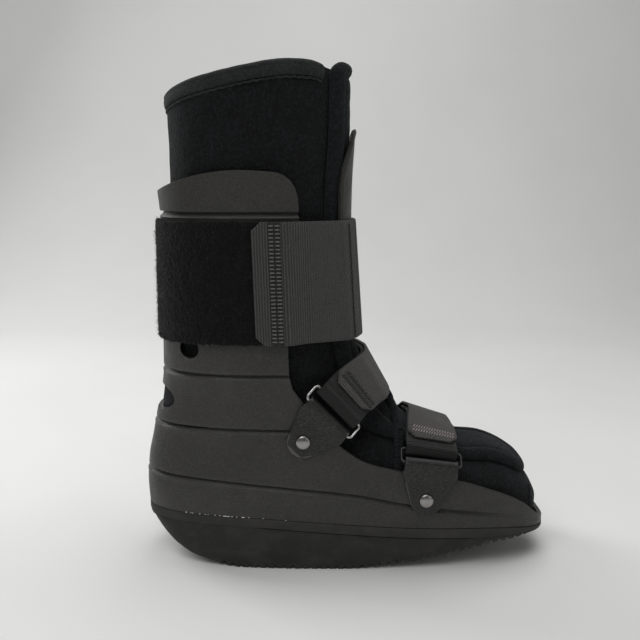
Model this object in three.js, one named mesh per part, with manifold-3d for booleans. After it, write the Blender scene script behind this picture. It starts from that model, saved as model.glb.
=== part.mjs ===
// A tall medical walking boot: a hard shell on a rocker sole, a padded liner with a front flap,
// a curved shin plate, and three straps on rivets, tabs and rings.
// Millimetres. +X to the toe, +Z up, -Y the side seen in use, the floor at z = 0.
import * as THREE from "three";
import { mergeVertices } from "three/addons/utils/BufferGeometryUtils.js";
import Module from "manifold-3d";

const wasm = await Module();
wasm.setup();

// Sizes of the whole boot
const soleLength = 295;
const heelReach = 117; // from the origin back to the heel
const heelWidth = 99;
const ballWidth = 107;
const shaftWidth = 104;
const shaftFront = 153; // from the heel line to the front of the shaft's outline
const ankleHeight = 140;
const wingRise = 139.5; // shell wings above the ankle
const linerRise = 211; // top of the front flap above the ankle
const soleHeight = 41; // joint between shell and outsole, at the heel
const gap = 0.35; // between pieces that touch

// Shell
const shellWall = 3.2;
const grooveHeight = 3.6;
const grooveDepth = 1.1;
const ventRadius = 6.8;
const backVentHeight = 19;
const backVentWidth = 42;

// Outsole
const bandHeight = 7;
const bandStep = 1.3;
const treadFlat = 0.5; // depth of the flat that the tread stands on
const treadInset = 5;
const treadPitch = 12;
const treadGrooveWidth = 4;
const treadGrooveDepth = 3;

// Soft goods
const linerWall = 8;
const frontSlit = 16;
const flapThickness = 7;
const flapWidth = 66;
const flapRollWidth = 8;
const flapRollProud = 1;
const slitEnd = 0.76; // share of the sole length
const bindingHeight = 9;
const bindingThickness = 1.2;

// Shin plate
const plateThickness = 2.5;
const plateWidth = 70;
const plateArch = 44;
const plateTopLevel = 1.8; // share of the liner's rise, counted as in levelZ
const plateBottomLevel = 1.12;

// Straps
const loopThickness = 2.8;
const webbingThickness = 2.2;
const calfStrapWidth = 82;
const calfStrapLevel = 1.47; // share of the wing rise, counted as in levelZ
const smallStrapWidth = 36;
const webbingSetback = 12; // from a ring to the cut end of the webbing
const webbingChamfer = 6;
const calfLoopReach = 127; // loop strap, from the back round each side
const calfLap = 14; // webbing and front band over the loop strap
const calfSeam = 192; // from the back to the seam at the front
const strapTuck = 150; // degrees that a strap goes on round a ring's bar
const strapTurn = 45; // length in which a strap turns from the ring's slope to its own
const calfSlice = 20; // height of the shaft that each edge of the calf strap rests on
const calfSteps = 60;
const strapStep = 0.05; // least length between two stations
const footStrapSteps = 16;
const strapEase = 0.9; // clearance of the foot straps' layers, which turn as they rise
const twistStep = 6; // length between stations where a foot strap turns

// Rings, tabs and rivets
const wire = 2.4;
const ringWidth = 42;
const ringDepth = 11.5;
const ringCorner = 2.6;
const tabThickness = 2;
const tabFoot = 11; // radius round the rivet
const tabShoulder = 0.72; // share of the tab's length at which it is widest
const tabFlare = 1;
const rivetHead = 5;
const rivetEdge = 0.4;
const rivetDome = 1.8;
const rivetShank = 2;

const steps = 28; // points round an outline

// A share of the sole length, from the heel line forward
const alongSole = (share) => share * soleLength - heelReach;

// Heights: 0 to 1 from the floor to the ankle, 1 to 2 on up to the top of the wings or the liner
const levelZ = (share, rise) =>
  share <= 1 ? share * ankleHeight : ankleHeight + (share - 1) * rise;

// Straight-line reading of a table of rows at one value of its key column
function readTable(rows, key, at) {
  const last = rows.length - 1;
  let i = 0;
  while (i < last - 1 && at > rows[i + 1][key]) i += 1;
  const [a, b] = [rows[i], rows[i + 1]];
  const t = Math.min(1, Math.max(0, (at - a[key]) / (b[key] - a[key])));
  const row = {};
  for (const name of Object.keys(a)) row[name] = a[name] + t * (b[name] - a[name]);
  return row;
}

// Side profiles: x is a share of the sole length, z a share of the sole height
const jointProfile = [
  { x: 0, z: 1.0 },
  { x: 0.27, z: 0.965 },
  { x: 0.45, z: 0.88 },
  { x: 0.62, z: 0.8 },
  { x: 0.82, z: 0.735 },
  { x: 0.9, z: 0.68 },
  { x: 0.96, z: 0.6 },
  { x: 1.0, z: 0.54 },
];
const groundProfile = [
  { x: 0, z: 0.73 },
  { x: 0.03, z: 0.62 },
  { x: 0.08, z: 0.35 },
  { x: 0.13, z: 0.17 },
  { x: 0.19, z: 0.07 },
  { x: 0.25, z: 0 },
  { x: 0.48, z: 0 },
  { x: 0.6, z: 0.1 },
  { x: 0.7, z: 0.2 },
  { x: 0.79, z: 0.33 },
  { x: 0.87, z: 0.42 },
  { x: 1.0, z: 0.44 },
];
const profileZ = (rows, x) =>
  readTable(rows, "x", (x + heelReach) / soleLength).z * soleHeight;
const jointZ = (x) => profileZ(jointProfile, x);
const groundZ = (x) => profileZ(groundProfile, x);
const floorZ = (x) => jointZ(x) + shellWall + gap; // what the liner stands on

// Shell levels: up as in levelZ, back a share of the sole length, shaft from 0 for the foot's
// outline to 1 for the shaft's, swell a share of the widths, square the outline's squareness
const shellLevels = [
  { up: 0.08, back: 0.004, shaft: 0, swell: 0.93, square: 2.9 },
  { up: 0.26, back: 0.003, shaft: 0, swell: 0.97, square: 2.9 },
  { up: 0.4, back: 0, shaft: 0, swell: 1, square: 2.9 },
  { up: 0.54, back: 0.005, shaft: 0.05, swell: 0.99, square: 2.8 },
  { up: 0.65, back: 0.016, shaft: 0.22, swell: 0.97, square: 2.7 },
  { up: 0.76, back: 0.026, shaft: 0.42, swell: 0.965, square: 2.6 },
  { up: 0.88, back: 0.039, shaft: 0.62, swell: 0.97, square: 2.5 },
  { up: 1.0, back: 0.047, shaft: 0.8, swell: 0.985, square: 2.5 },
  { up: 1.15, back: 0.049, shaft: 0.95, swell: 1, square: 2.5 },
  { up: 1.45, back: 0.051, shaft: 1, swell: 1, square: 2.5 },
  { up: 1.77, back: 0.052, shaft: 1, swell: 1, square: 2.5 },
  { up: 1.9, back: 0.047, shaft: 1, swell: 1, square: 2.5 },
  { up: 2.1, back: 0.039, shaft: 1, swell: 1.02, square: 2.5 },
  { up: 3.0, back: 0.039, shaft: 1, swell: 1.02, square: 2.5 },
];

const mix = (a, b, t) => a + (b - a) * t;
const smooth = (t) => t * t * (3 - 2 * t);
const signedPower = (value, power) => Math.sign(value) * Math.abs(value) ** power;

// The shell's outline at a height, grown outwards by a distance
function shellOutline(z, grow = 0) {
  const up = z <= ankleHeight ? z / ankleHeight : 1 + (z - ankleHeight) / wingRise;
  const row = readTable(shellLevels, "up", up);
  const back = alongSole(row.back) - grow;
  const front = mix(soleLength, shaftFront, row.shaft) - heelReach + grow;
  return {
    mid: (back + front) / 2,
    half: (front - back) / 2,
    heel: (mix(heelWidth, shaftWidth, row.shaft) / 2) * row.swell + grow,
    ball: (mix(ballWidth, shaftWidth, row.shaft) / 2) * row.swell + grow,
    square: row.square,
  };
}

function outlineWidth(outline, along) {
  return mix(outline.heel, outline.ball, smooth((along + 1) / 2));
}

// Half width of the shell at a place in the side view
function shellHalfWidth(x, z, grow = 0) {
  const outline = shellOutline(z, grow);
  const along = Math.max(-1, Math.min(1, (x - outline.mid) / outline.half));
  const round = (1 - Math.abs(along) ** outline.square) ** (1 / outline.square);
  return outlineWidth(outline, along) * round;
}

// Points round an outline, from the back centre by the far side to the front and back again
function outlinePoints(outline, heightAt) {
  const points = [];
  for (let i = 0; i < steps; i += 1) {
    const angle = (2 * Math.PI * i) / steps;
    const along = -signedPower(Math.cos(angle), 2 / outline.square);
    const side = signedPower(Math.sin(angle), 2 / outline.square);
    const x = outline.mid + outline.half * along;
    points.push(new THREE.Vector3(x, outlineWidth(outline, along) * side, heightAt(x)));
  }
  return points;
}

// Geometry to solid and back
function solid(geometry) {
  geometry.deleteAttribute("normal");
  geometry.deleteAttribute("uv");
  const merged = mergeVertices(geometry, 1e-4);
  return new wasm.Manifold(
    new wasm.Mesh({
      numProp: 3,
      vertProperties: merged.attributes.position.array,
      triVerts: new Uint32Array(merged.index.array),
    }),
  );
}

function geometryOf(body) {
  const mesh = body.getMesh();
  const geometry = new THREE.BufferGeometry();
  geometry.setAttribute("position", new THREE.BufferAttribute(mesh.vertProperties, 3));
  geometry.setIndex(new THREE.BufferAttribute(mesh.triVerts, 1));
  return geometry;
}

// A body through rings of points. A ring starts on the mid plane, goes round by one side and comes
// back by the other, so its cap is a strip of rungs between the two sides.
function loft(rings) {
  const count = rings[0].length;
  const half = count / 2;
  const triangles = [];
  for (let r = 0; r + 1 < rings.length; r += 1) {
    for (let i = 0; i < count; i += 1) {
      const a = r * count + i;
      const b = r * count + ((i + 1) % count);
      triangles.push(a, b + count, b, a, a + count, b + count);
    }
  }
  const rungs = [[0, 1, count - 1], [half - 1, half, half + 1]];
  for (let i = 1; i < half - 1; i += 1) {
    rungs.push([i, i + 1, count - i - 1], [i, count - i - 1, count - i]);
  }
  const last = (rings.length - 1) * count;
  for (const [p, q, s] of rungs) triangles.push(p, q, s, last + p, last + s, last + q);
  return solidOf(rings.flat(), triangles);
}

function solidOf(points, triangles) {
  const geometry = new THREE.BufferGeometry().setFromPoints(points);
  geometry.setIndex(triangles);
  return solid(geometry);
}

// A flat shape in the side view, pushed across the boot
function acrossBoot(points, halfSpan, centre = 0) {
  const shape = new THREE.Shape(points);
  const geometry = new THREE.ExtrudeGeometry(shape, { depth: 2 * halfSpan, bevelEnabled: false });
  geometry.rotateX(Math.PI / 2);
  geometry.translate(0, centre + halfSpan, 0);
  return solid(geometry);
}

const at = (x, z) => new THREE.Vector2(x, z);
const wide = shaftWidth;
const splinePoints = (points, count) => new THREE.SplineCurve(points).getPoints(count);

// Shell rim in the side view: x a share of the sole length, up as in levelZ
const wingRim = [
  { x: -0.05, up: 1.86 },
  { x: 0.03, up: 1.89 },
  { x: 0.1, up: 1.945 },
  { x: 0.19, up: 1.99 },
  { x: 0.25, up: 2.0 },
  { x: 0.33, up: 1.99 },
  { x: 0.365, up: 1.95 },
  { x: 0.382, up: 1.87 },
  { x: 0.384, up: 1.78 },
];
const footRim = [
  { x: 0.358, up: 1.15 },
  { x: 0.36, up: 1.02 },
  { x: 0.368, up: 0.95 },
  { x: 0.395, up: 0.87 },
  { x: 0.44, up: 0.75 },
  { x: 0.49, up: 0.64 },
  { x: 0.54, up: 0.575 },
  { x: 0.62, up: 0.53 },
  { x: 0.76, up: 0.475 },
  { x: 0.85, up: 0.41 },
  { x: 0.92, up: 0.335 },
  { x: 0.96, up: 0.26 },
  { x: 0.985, up: 0.21 },
  { x: 1.05, up: 0.185 },
];
const rimPoint = (row) => at(alongSole(row.x), levelZ(row.up, wingRise));

function shellSideView() {
  const rim = [
    ...splinePoints(wingRim.map(rimPoint), 14),
    ...splinePoints(footRim.map(rimPoint), 20),
  ];
  const joint = jointProfile.map((row) => at(alongSole(row.x), row.z * soleHeight));
  joint[0].x = rim[0].x;
  joint[joint.length - 1].x = rim[rim.length - 1].x;
  return [...rim, ...joint.reverse()];
}

const shellHeights = shellLevels.map((row) => levelZ(row.up, wingRise));
const shellForm = (grow) =>
  loft(shellHeights.map((z) => outlinePoints(shellOutline(z, grow), () => z)));

// Grooves that run round the shell: straight ones by height, and one that follows the foot
const grooveLevels = [1.797, 1.014, 0.736];
const footGroove = [
  { x: -0.05, up: 0.485 },
  { x: 0.15, up: 0.47 },
  { x: 0.3, up: 0.448 },
  { x: 0.52, up: 0.402 },
  { x: 0.62, up: 0.36 },
  { x: 0.73, up: 0.322 },
  { x: 0.83, up: 0.29 },
  { x: 0.9, up: 0.262 },
];

function grooves() {
  const half = grooveHeight / 2;
  const bands = grooveLevels.map((up) => {
    const z = levelZ(up, wingRise);
    const end = alongSole(0.37);
    const start = alongSole(-0.05);
    return [at(start, z - half), at(end, z - half), at(end, z + half), at(start, z + half)];
  });
  const line = footGroove.map(rimPoint);
  bands.push([
    ...line.map((p) => at(p.x, p.y - half)),
    ...line.map((p) => at(p.x, p.y + half)).reverse(),
  ]);
  return bands
    .map((band) => acrossBoot(band, wide))
    .reduce((all, band) => all.add(band))
    .subtract(shellForm(-grooveDepth));
}

function roundHole(x, z, radiusX, radiusZ) {
  const shape = new THREE.Shape().absellipse(0, 0, radiusX, radiusZ, 0, 2 * Math.PI);
  return shape.getPoints(4).slice(0, -1).map((p) => at(p.x + x, p.y + z));
}

const sideVents = [
  { x: 0.129, up: 1.145 },
  { x: 0.126, up: 1.69 },
];
const backVentLevel = 0.864;

function vents() {
  const cuts = sideVents.map((row) => {
    const p = rimPoint(row);
    return acrossBoot(roundHole(p.x, p.y, ventRadius, ventRadius), wide);
  });
  const oval = new THREE.Shape();
  oval.absellipse(0, 0, backVentWidth / 2, backVentHeight / 2, 0, 2 * Math.PI);
  const back = new THREE.ExtrudeGeometry(oval, {
    depth: heelReach / 2,
    bevelEnabled: false,
    curveSegments: 8,
  });
  back.rotateX(Math.PI / 2).rotateZ(Math.PI / 2);
  back.translate(-heelReach - gap, 0, levelZ(backVentLevel, wingRise));
  cuts.push(solid(back));
  return cuts.reduce((all, cut) => all.add(cut));
}

// The hollow inside the shell, above its floor, shrunk by a distance
function shellHollow(shrink = 0) {
  const top = levelZ(3, wingRise);
  const floor = jointProfile.map((row) =>
    at(alongSole(row.x), row.z * soleHeight + shellWall + shrink),
  );
  floor[0].x = -2 * heelReach;
  floor[floor.length - 1].x = 2 * soleLength;
  const above = acrossBoot(
    [...floor, at(2 * soleLength, top), at(-2 * heelReach, top)],
    wide,
  );
  return shellForm(-shellWall - shrink).intersect(above);
}

function makeShell(rivetHoles) {
  return shellForm(0)
    .subtract(shellHollow())
    .intersect(acrossBoot(shellSideView(), wide))
    .subtract(grooves())
    .subtract(vents())
    .subtract(rivetHoles);
}

// Outsole: one ring on the joint, two at the step under the band, then down to the tread
function makeOutsole() {
  const rings = [
    { inset: treadInset, height: () => -treadFlat },
    { inset: treadInset * 0.45, height: (thick) => thick * 0.3 },
    { inset: bandStep, height: (thick) => thick - Math.min(bandHeight + 1, thick * 0.6) },
    { inset: 0, height: (thick) => thick - Math.min(bandHeight, thick * 0.5) },
    { inset: 0, height: (thick) => thick - gap },
  ];
  const levels = rings.map((ring) => {
    const outline = shellOutline(soleHeight, -ring.inset);
    return outlinePoints(outline, (x) => {
      const base = groundZ(x);
      return base + ring.height(jointZ(x) - base);
    });
  });
  const floor = new THREE.BoxGeometry(2 * soleLength, 2 * ballWidth, 2 * soleHeight);
  floor.translate(0, 0, -soleHeight);
  return loft(levels).subtract(treadGrooves()).subtract(solid(floor));
}

// Cross grooves of the tread, square to the ground line, with a bar under the origin
function treadGrooves() {
  const cuts = [];
  const first = Math.ceil((alongSole(0.03) - treadPitch / 2) / treadPitch);
  const last = Math.floor((alongSole(0.97) - treadPitch / 2) / treadPitch);
  for (let i = first; i <= last; i += 1) {
    const x = (i + 0.5) * treadPitch;
    const half = treadGrooveWidth / 2;
    const slope = Math.atan2(groundZ(x + half) - groundZ(x - half), treadGrooveWidth);
    const reach = treadGrooveDepth * 2;
    const bar = new THREE.BoxGeometry(treadGrooveWidth, ballWidth * 2, reach + treadGrooveDepth);
    bar.translate(0, 0, (treadGrooveDepth - reach) / 2);
    bar.rotateY(-slope);
    bar.translate(x, 0, groundZ(x));
    cuts.push(solid(bar));
  }
  return cuts.reduce((all, cut) => all.add(cut));
}

// Liner rings, like those of a sock, from the top down round the heel to the toe.
// Each runs from a back or sole point to a front or instep point: x as shares of the sole
// length, z as in levelZ, no lower than the shell's floor. fill is a share of the room in the
// shell, under and over are the squareness of the back half and of the front half.
const linerRings = [
  { bx: 0.075, bz: 2.05, fx: 0.481, fz: 2.08, fill: 0.97, under: 2.5, over: 2.4 },
  { bx: 0.076, bz: 1.78, fx: 0.48, fz: 1.83, fill: 0.97, under: 2.5, over: 2.4 },
  { bx: 0.078, bz: 1.57, fx: 0.472, fz: 1.6, fill: 0.97, under: 2.5, over: 2.4 },
  { bx: 0.072, bz: 1.4, fx: 0.47, fz: 1.4, fill: 0.98, under: 2.5, over: 2.4 },
  { bx: 0.066, bz: 1.24, fx: 0.477, fz: 1.24, fill: 0.99, under: 2.5, over: 2.4 },
  { bx: 0.064, bz: 1.07, fx: 0.492, fz: 1.1, fill: 0.99, under: 2.5, over: 2.4 },
  { bx: 0.055, bz: 0.89, fx: 0.515, fz: 1.01, fill: 0.98, under: 2.6, over: 2.4 },
  { bx: 0.037, bz: 0.68, fx: 0.54, fz: 0.93, fill: 0.97, under: 2.6, over: 2.4 },
  { bx: 0.016, bz: 0.49, fx: 0.562, fz: 0.85, fill: 0.96, under: 2.7, over: 2.3 },
  { bx: 0.028, bz: 0.36, fx: 0.582, fz: 0.79, fill: 0.96, under: 2.7, over: 2.3 },
  { bx: 0.075, bz: 0, fx: 0.603, fz: 0.745, fill: 0.96, under: 2.8, over: 2.3 },
  { bx: 0.19, bz: 0, fx: 0.627, fz: 0.705, fill: 0.96, under: 3, over: 2.3 },
  { bx: 0.33, bz: 0, fx: 0.655, fz: 0.67, fill: 0.96, under: 3.2, over: 2.3 },
  { bx: 0.48, bz: 0, fx: 0.69, fz: 0.63, fill: 0.96, under: 3.4, over: 2.3 },
  { bx: 0.62, bz: 0, fx: 0.73, fz: 0.585, fill: 0.97, under: 3.6, over: 2.4 },
  { bx: 0.74, bz: 0, fx: 0.78, fz: 0.55, fill: 0.98, under: 3.8, over: 2.4 },
  { bx: 0.83, bz: 0, fx: 0.84, fz: 0.54, fill: 0.98, under: 3.8, over: 2.5 },
  { bx: 0.89, bz: 0, fx: 0.893, fz: 0.505, fill: 0.98, under: 3.6, over: 2.6 },
  { bx: 0.93, bz: 0, fx: 0.93, fz: 0.46, fill: 0.97, under: 3.2, over: 2.6 },
  { bx: 0.956, bz: 0, fx: 0.956, fz: 0.41, fill: 0.95, under: 2.8, over: 2.6 },
  { bx: 0.974, bz: 0.26, fx: 0.973, fz: 0.35, fill: 0.8, under: 2.4, over: 2.4 },
];

function linerRing(row, grow) {
  const bx = alongSole(row.bx);
  const back = at(bx, Math.max(levelZ(row.bz, linerRise), floorZ(bx)));
  const front = at(alongSole(row.fx), levelZ(row.fz, linerRise));
  const centre = back.clone().add(front).multiplyScalar(0.5);
  const away = front.clone().sub(back).normalize();
  const half = front.distanceTo(back) / 2 + grow;
  const room = shellHalfWidth(centre.x, centre.y, -shellWall - gap);
  const width = room * row.fill + grow;
  const points = [];
  for (let i = 0; i < steps; i += 1) {
    const angle = (2 * Math.PI * i) / steps;
    const power = 2 / (Math.cos(angle) > 0 ? row.under : row.over);
    const along = -signedPower(Math.cos(angle), power) * half;
    const side = signedPower(Math.sin(angle), power) * width;
    points.push(new THREE.Vector3(centre.x + away.x * along, side, centre.y + away.y * along));
  }
  return points;
}

// The liner's form grown by a distance, from its top ring down to ring number end
function linerForm(grow, rows = linerRings) {
  return loft([...rows].reverse().map((row) => linerRing(row, grow)));
}

// The liner's top edge in the side view
const linerTop = [
  { x: 0.05, up: 1.88 },
  { x: 0.075, up: 1.896 },
  { x: 0.125, up: 1.924 },
  { x: 0.2, up: 1.95 },
  { x: 0.31, up: 1.981 },
  { x: 0.37, up: 1.99 },
  { x: 0.41, up: 1.99 },
  { x: 0.45, up: 1.975 },
  { x: 0.55, up: 1.96 },
];
// The room for the leg and foot, a wall inside the liner's outside
const linerInside = (wall) =>
  linerForm(-wall, linerRings.slice(0, -2).filter((_, i) => i % 2 === 0));

// What lies below the liner's top edge, moved up by a distance
function belowTop(shift) {
  const edge = linerTop.map((row) => at(alongSole(row.x), levelZ(row.up, linerRise) + shift));
  edge[0].x = -2 * heelReach;
  edge[edge.length - 1].x = soleLength;
  return acrossBoot([...edge, at(soleLength, 0), at(-2 * heelReach, 0)], wide);
}

// The part of the side view in front of the shin and above the foot, up to a place on the sole
const frontDivide = [
  { x: 0.33, up: 2 },
  { x: 0.33, up: 1.2 },
  { x: 0.43, up: 0.78 },
  { x: 0.56, up: 0.55 },
  { x: 0.8, up: 0.4 },
];

function frontRegion(endX, halfSpan, centre = 0) {
  const divide = frontDivide
    .map((row) => at(alongSole(row.x), levelZ(row.up, linerRise)))
    .filter((p) => p.x < endX);
  const top = divide[0].y;
  const foot = divide[divide.length - 1].y;
  return acrossBoot([...divide, at(endX, foot), at(endX, top)], halfSpan, centre);
}

function makeLiner() {
  return linerForm(0)
    .intersect(shellHollow(gap))
    .intersect(belowTop(0))
    .subtract(linerInside(linerWall))
    .subtract(frontRegion(alongSole(slitEnd), frontSlit / 2));
}

// The front flap's outline on the foot, seen from above: width as a share of the flap's
const flapTaper = [
  { x: -0.1, width: 1 },
  { x: 0.62, width: 1 },
  { x: 0.78, width: 0.92 },
  { x: 0.88, width: 0.8 },
  { x: 0.92, width: 0.66 },
  { x: 0.937, width: 0.4 },
];

function flapPlan(inset) {
  const near = flapTaper.map((row) => at(alongSole(row.x) - inset, (row.width * flapWidth) / 2));
  const shape = new THREE.Shape([
    ...near.map((p) => at(p.x, inset - p.y)),
    ...near.map((p) => at(p.x, p.y - inset)).reverse(),
  ]);
  const depth = levelZ(2, linerRise);
  return solid(new THREE.ExtrudeGeometry(shape, { depth, bevelEnabled: false }));
}

// The front flap lies on the liner from its top to the toes, with a thick rolled edge all round
function makeFlap() {
  const room = frontRegion(soleLength - heelReach, flapWidth).intersect(flapPlan(0));
  const body = linerForm(gap + flapThickness).intersect(room);
  const rolls = linerForm(gap + flapThickness + flapRollProud)
    .intersect(room)
    .subtract(flapPlan(flapRollWidth));
  return body.add(rolls).subtract(linerForm(gap));
}

// The binding sewn over the liner's top edge, from one side of the flap round to the other
function makeBinding() {
  const outside = gap + bindingThickness;
  const thickened = (by) =>
    linerForm(by)
      .subtract(linerInside(linerWall + by))
      .intersect(belowTop(by));
  return thickened(outside)
    .subtract(thickened(gap))
    .subtract(belowTop(-bindingHeight))
    .subtract(frontRegion(soleLength, flapWidth / 2 + gap));
}

// The shin plate: a curved plate with an arched top on the front flap
function makePlate() {
  const inner = gap + flapThickness + flapRollProud + gap;
  const bottom = levelZ(plateBottomLevel, linerRise);
  const top = levelZ(plateTopLevel, linerRise);
  const half = plateWidth / 2;
  const arch = new THREE.Shape();
  arch.moveTo(-half, bottom);
  arch.lineTo(half, bottom);
  arch.absellipse(0, top - plateArch, half, plateArch, 0, Math.PI);
  const prism = new THREE.ExtrudeGeometry(arch, {
    depth: shaftFront,
    bevelEnabled: false,
    curveSegments: 10,
  });
  prism.rotateX(Math.PI / 2).rotateZ(Math.PI / 2);
  return linerForm(inner + plateThickness)
    .subtract(linerForm(inner))
    .intersect(solid(prism));
}

// Convex outline of flat points
function hull(points) {
  const sorted = [...points].sort((a, b) => a.x - b.x || a.y - b.y);
  const turn = (o, a, b) => (a.x - o.x) * (b.y - o.y) - (a.y - o.y) * (b.x - o.x);
  const chain = (list) => {
    const line = [];
    for (const p of list) {
      while (line.length > 1 && turn(line[line.length - 2], line[line.length - 1], p) <= 0) {
        line.pop();
      }
      line.push(p);
    }
    return line.slice(0, -1);
  };
  return [...chain(sorted), ...chain(sorted.reverse())];
}

// A plane across a strap: two directions in it, and the strap's width square to both
function strapFrame(centre, first, second) {
  return { centre, first, second, across: first.clone().cross(second) };
}

// Points of the bodies under a strap, seen along its width
function pointsUnder(bodies, frame, width, lowest) {
  const reach = 4 * shaftWidth;
  const slab = new THREE.BoxGeometry(reach, reach, width);
  slab.translate(0, lowest + reach / 2, 0);
  const { centre, first, second, across } = frame;
  slab.applyMatrix4(new THREE.Matrix4().makeBasis(first, second, across).setPosition(centre));
  const room = solid(slab);
  const points = [];
  for (const body of bodies) {
    const { vertProperties } = body.intersect(room).getMesh();
    for (let i = 0; i < vertProperties.length; i += 3) {
      const p = new THREE.Vector3().fromArray(vertProperties, i).sub(centre);
      points.push(at(p.dot(first), p.dot(second)));
    }
  }
  return points;
}

// The line that a taut strap takes round points, one set for each edge of the strap: a place on
// both edges and a normal for each angle
function tautLine(points, angles, otherPoints = points) {
  const outlines = [hull(points), hull(otherPoints)];
  return angles.map((angle) => {
    const normal = at(Math.cos(angle), Math.sin(angle));
    const farthest = (outline) =>
      outline.reduce((best, p) => (p.dot(normal) > best.dot(normal) ? p : best));
    return { normal, edges: outlines.map(farthest) };
  });
}

const angleRange = (from, to, count) =>
  Array.from({ length: count + 1 }, (_, i) => mix(from, to, i / count) * (Math.PI / 180));

// Adds the length along the middle of the line, at a lift off it, from station number start
function measured(line, lift, start) {
  const points = line.map(({ edges, normal }) =>
    edges[0].clone().lerp(edges[1], 0.5).addScaledVector(normal, lift),
  );
  let length = 0;
  const lengths = points.map((p, i) => (length += i ? p.distanceTo(points[i - 1]) : 0));
  return line.map((s, i) => ({ ...s, length: lengths[i] - lengths[start] }));
}

function stationAt(line, length) {
  let i = 0;
  while (i < line.length - 2 && line[i + 1].length < length) i += 1;
  const [a, b] = [line[i], line[i + 1]];
  const t = Math.min(1, Math.max(0, (length - a.length) / (b.length - a.length || 1)));
  return {
    edges: a.edges.map((edge, k) => edge.clone().lerp(b.edges[k], t)),
    normal: a.normal.clone().lerp(b.normal, t).normalize(),
    length,
  };
}

// A strap from one length along the line to another: lift is its height off the line, marks are
// further lengths that need a station, chamfer cuts the corners of its first end, and place puts
// a flat place into the boot
function strapBody(line, { from, to, lift, marks = [], width, thickness, chamfer = 0 }, place) {
  const lengths = [from, ...(chamfer ? [from + chamfer] : []), ...marks, to];
  const apart = (s) => lengths.every((length) => Math.abs(s.length - length) > strapStep);
  const between = line.filter((s) => s.length > from && s.length < to && apart(s));
  const stations = [...lengths.map((length) => stationAt(line, length)), ...between];
  stations.sort((a, b) => a.length - b.length);
  const rings = stations.map((s, i) => {
    const half = width / 2 - (i === 0 ? chamfer : 0);
    const corner = (edge, off) => {
      const flat = s.edges[edge].clone().addScaledVector(s.normal, off);
      return place(flat, edge === 0 ? -half : half);
    };
    const inner = lift(s.length);
    const outer = inner + thickness;
    return [corner(0, inner), corner(0, outer), corner(1, outer), corner(1, inner)];
  });
  const body = loft(rings);
  return body.volume() > 0 ? body : loft(rings.reverse());
}

// The calf strap, level round the shaft: stations start at the back and go by the near side
const calfCentre = new THREE.Vector3(0, 0, levelZ(calfStrapLevel, wingRise));

function calfStraps(bodies) {
  const atEdge = (sign) => {
    const edge = calfCentre.clone();
    edge.z += (sign * (calfStrapWidth - calfSlice)) / 2;
    const frame = strapFrame(edge, new THREE.Vector3(1, 0, 0), new THREE.Vector3(0, 1, 0));
    return pointsUnder(bodies, frame, calfSlice, -2 * shaftWidth);
  };
  const turn = tautLine(atEdge(-1), angleRange(180, 540, calfSteps), atEdge(1));
  const overLoop = gap + loopThickness + gap;
  const line = measured([...turn, ...turn.slice(1)], overLoop, 0);
  const round = line[calfSteps].length;
  const place = (flat, side) =>
    new THREE.Vector3(flat.x, flat.y, calfCentre.z + side);
  const step = (length) => {
    const off = Math.min(length, Math.abs(round - length)) - calfLoopReach - gap;
    return mix(overLoop, gap, smooth(Math.min(1, Math.max(0, off / calfLap))));
  };
  return {
    loop: strapBody(
      measured([...turn.slice(calfSteps / 2), ...turn.slice(1)], overLoop, calfSteps / 2),
      { from: -calfLoopReach, to: calfLoopReach, lift: () => gap, width: calfStrapWidth,
        thickness: loopThickness },
      place,
    ),
    webbing: strapBody(
      line,
      { from: calfLoopReach - calfLap, to: calfSeam - gap, lift: step, width: calfStrapWidth,
        thickness: webbingThickness, chamfer: webbingChamfer,
        marks: [calfLoopReach + gap, calfLoopReach + calfLap] },
      place,
    ),
    front: strapBody(
      line,
      { from: calfSeam, to: round - calfLoopReach + calfLap, lift: step, width: calfStrapWidth,
        thickness: loopThickness,
        marks: [round - calfLoopReach - calfLap, round - calfLoopReach - gap] },
      place,
    ),
  };
}

// A strap over the foot: where its rivets are, the slope of its rings and its own slope
const footStraps = {
  ankle: { x: 0.391, up: 0.689, tabLength: 24, ringSlope: 45, ringLean: 20, strapSlope: 61 },
  forefoot: { x: 0.68, up: 0.388, tabLength: 26, ringSlope: 7, ringLean: 55, strapSlope: 25 },
};
const radians = (degrees) => (degrees * Math.PI) / 180;
const upAt = (slope) => new THREE.Vector3(Math.sin(slope), 0, Math.cos(slope));
const acrossAt = (slope) => new THREE.Vector3(Math.cos(slope), 0, -Math.sin(slope));
const toSide = new THREE.Vector3(0, 1, 0);

// Places of one strap's hardware on the near side
function hardware(strap) {
  const slope = radians(strap.ringSlope);
  const rivet = rimPoint(strap);
  const reach = Math.max(
    ...[-1, 0, 1].map((k) => shellHalfWidth(rivet.x + k * tabFoot, rivet.y + tabFoot)),
    ...[-1, 0, 1].map((k) => shellHalfWidth(rivet.x + k * tabFoot, rivet.y - tabFoot)),
    shellHalfWidth(rivet.x, rivet.y),
  );
  const face = reach + gap;
  const barSide = face + tabThickness / 2;
  const lean = radians(strap.ringLean);
  const lowBar = new THREE.Vector3(rivet.x, -barSide, rivet.y);
  lowBar.addScaledVector(upAt(slope), strap.tabLength);
  const leaning = upAt(slope).multiplyScalar(Math.cos(lean));
  leaning.addScaledVector(toSide, Math.sin(lean));
  const highBar = lowBar.clone().addScaledVector(leaning, ringDepth);
  return { slope, rivet, face, lowBar, highBar, leaning };
}

// A rod along the slope's width through a place
function rod(place, slope, radius, length) {
  const geometry = new THREE.CylinderGeometry(radius, radius, length, 10);
  geometry.applyMatrix4(
    new THREE.Matrix4().makeBasis(toSide, acrossAt(slope), upAt(slope).negate()),
  );
  geometry.translate(place.x, place.y, place.z);
  return solid(geometry);
}

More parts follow.
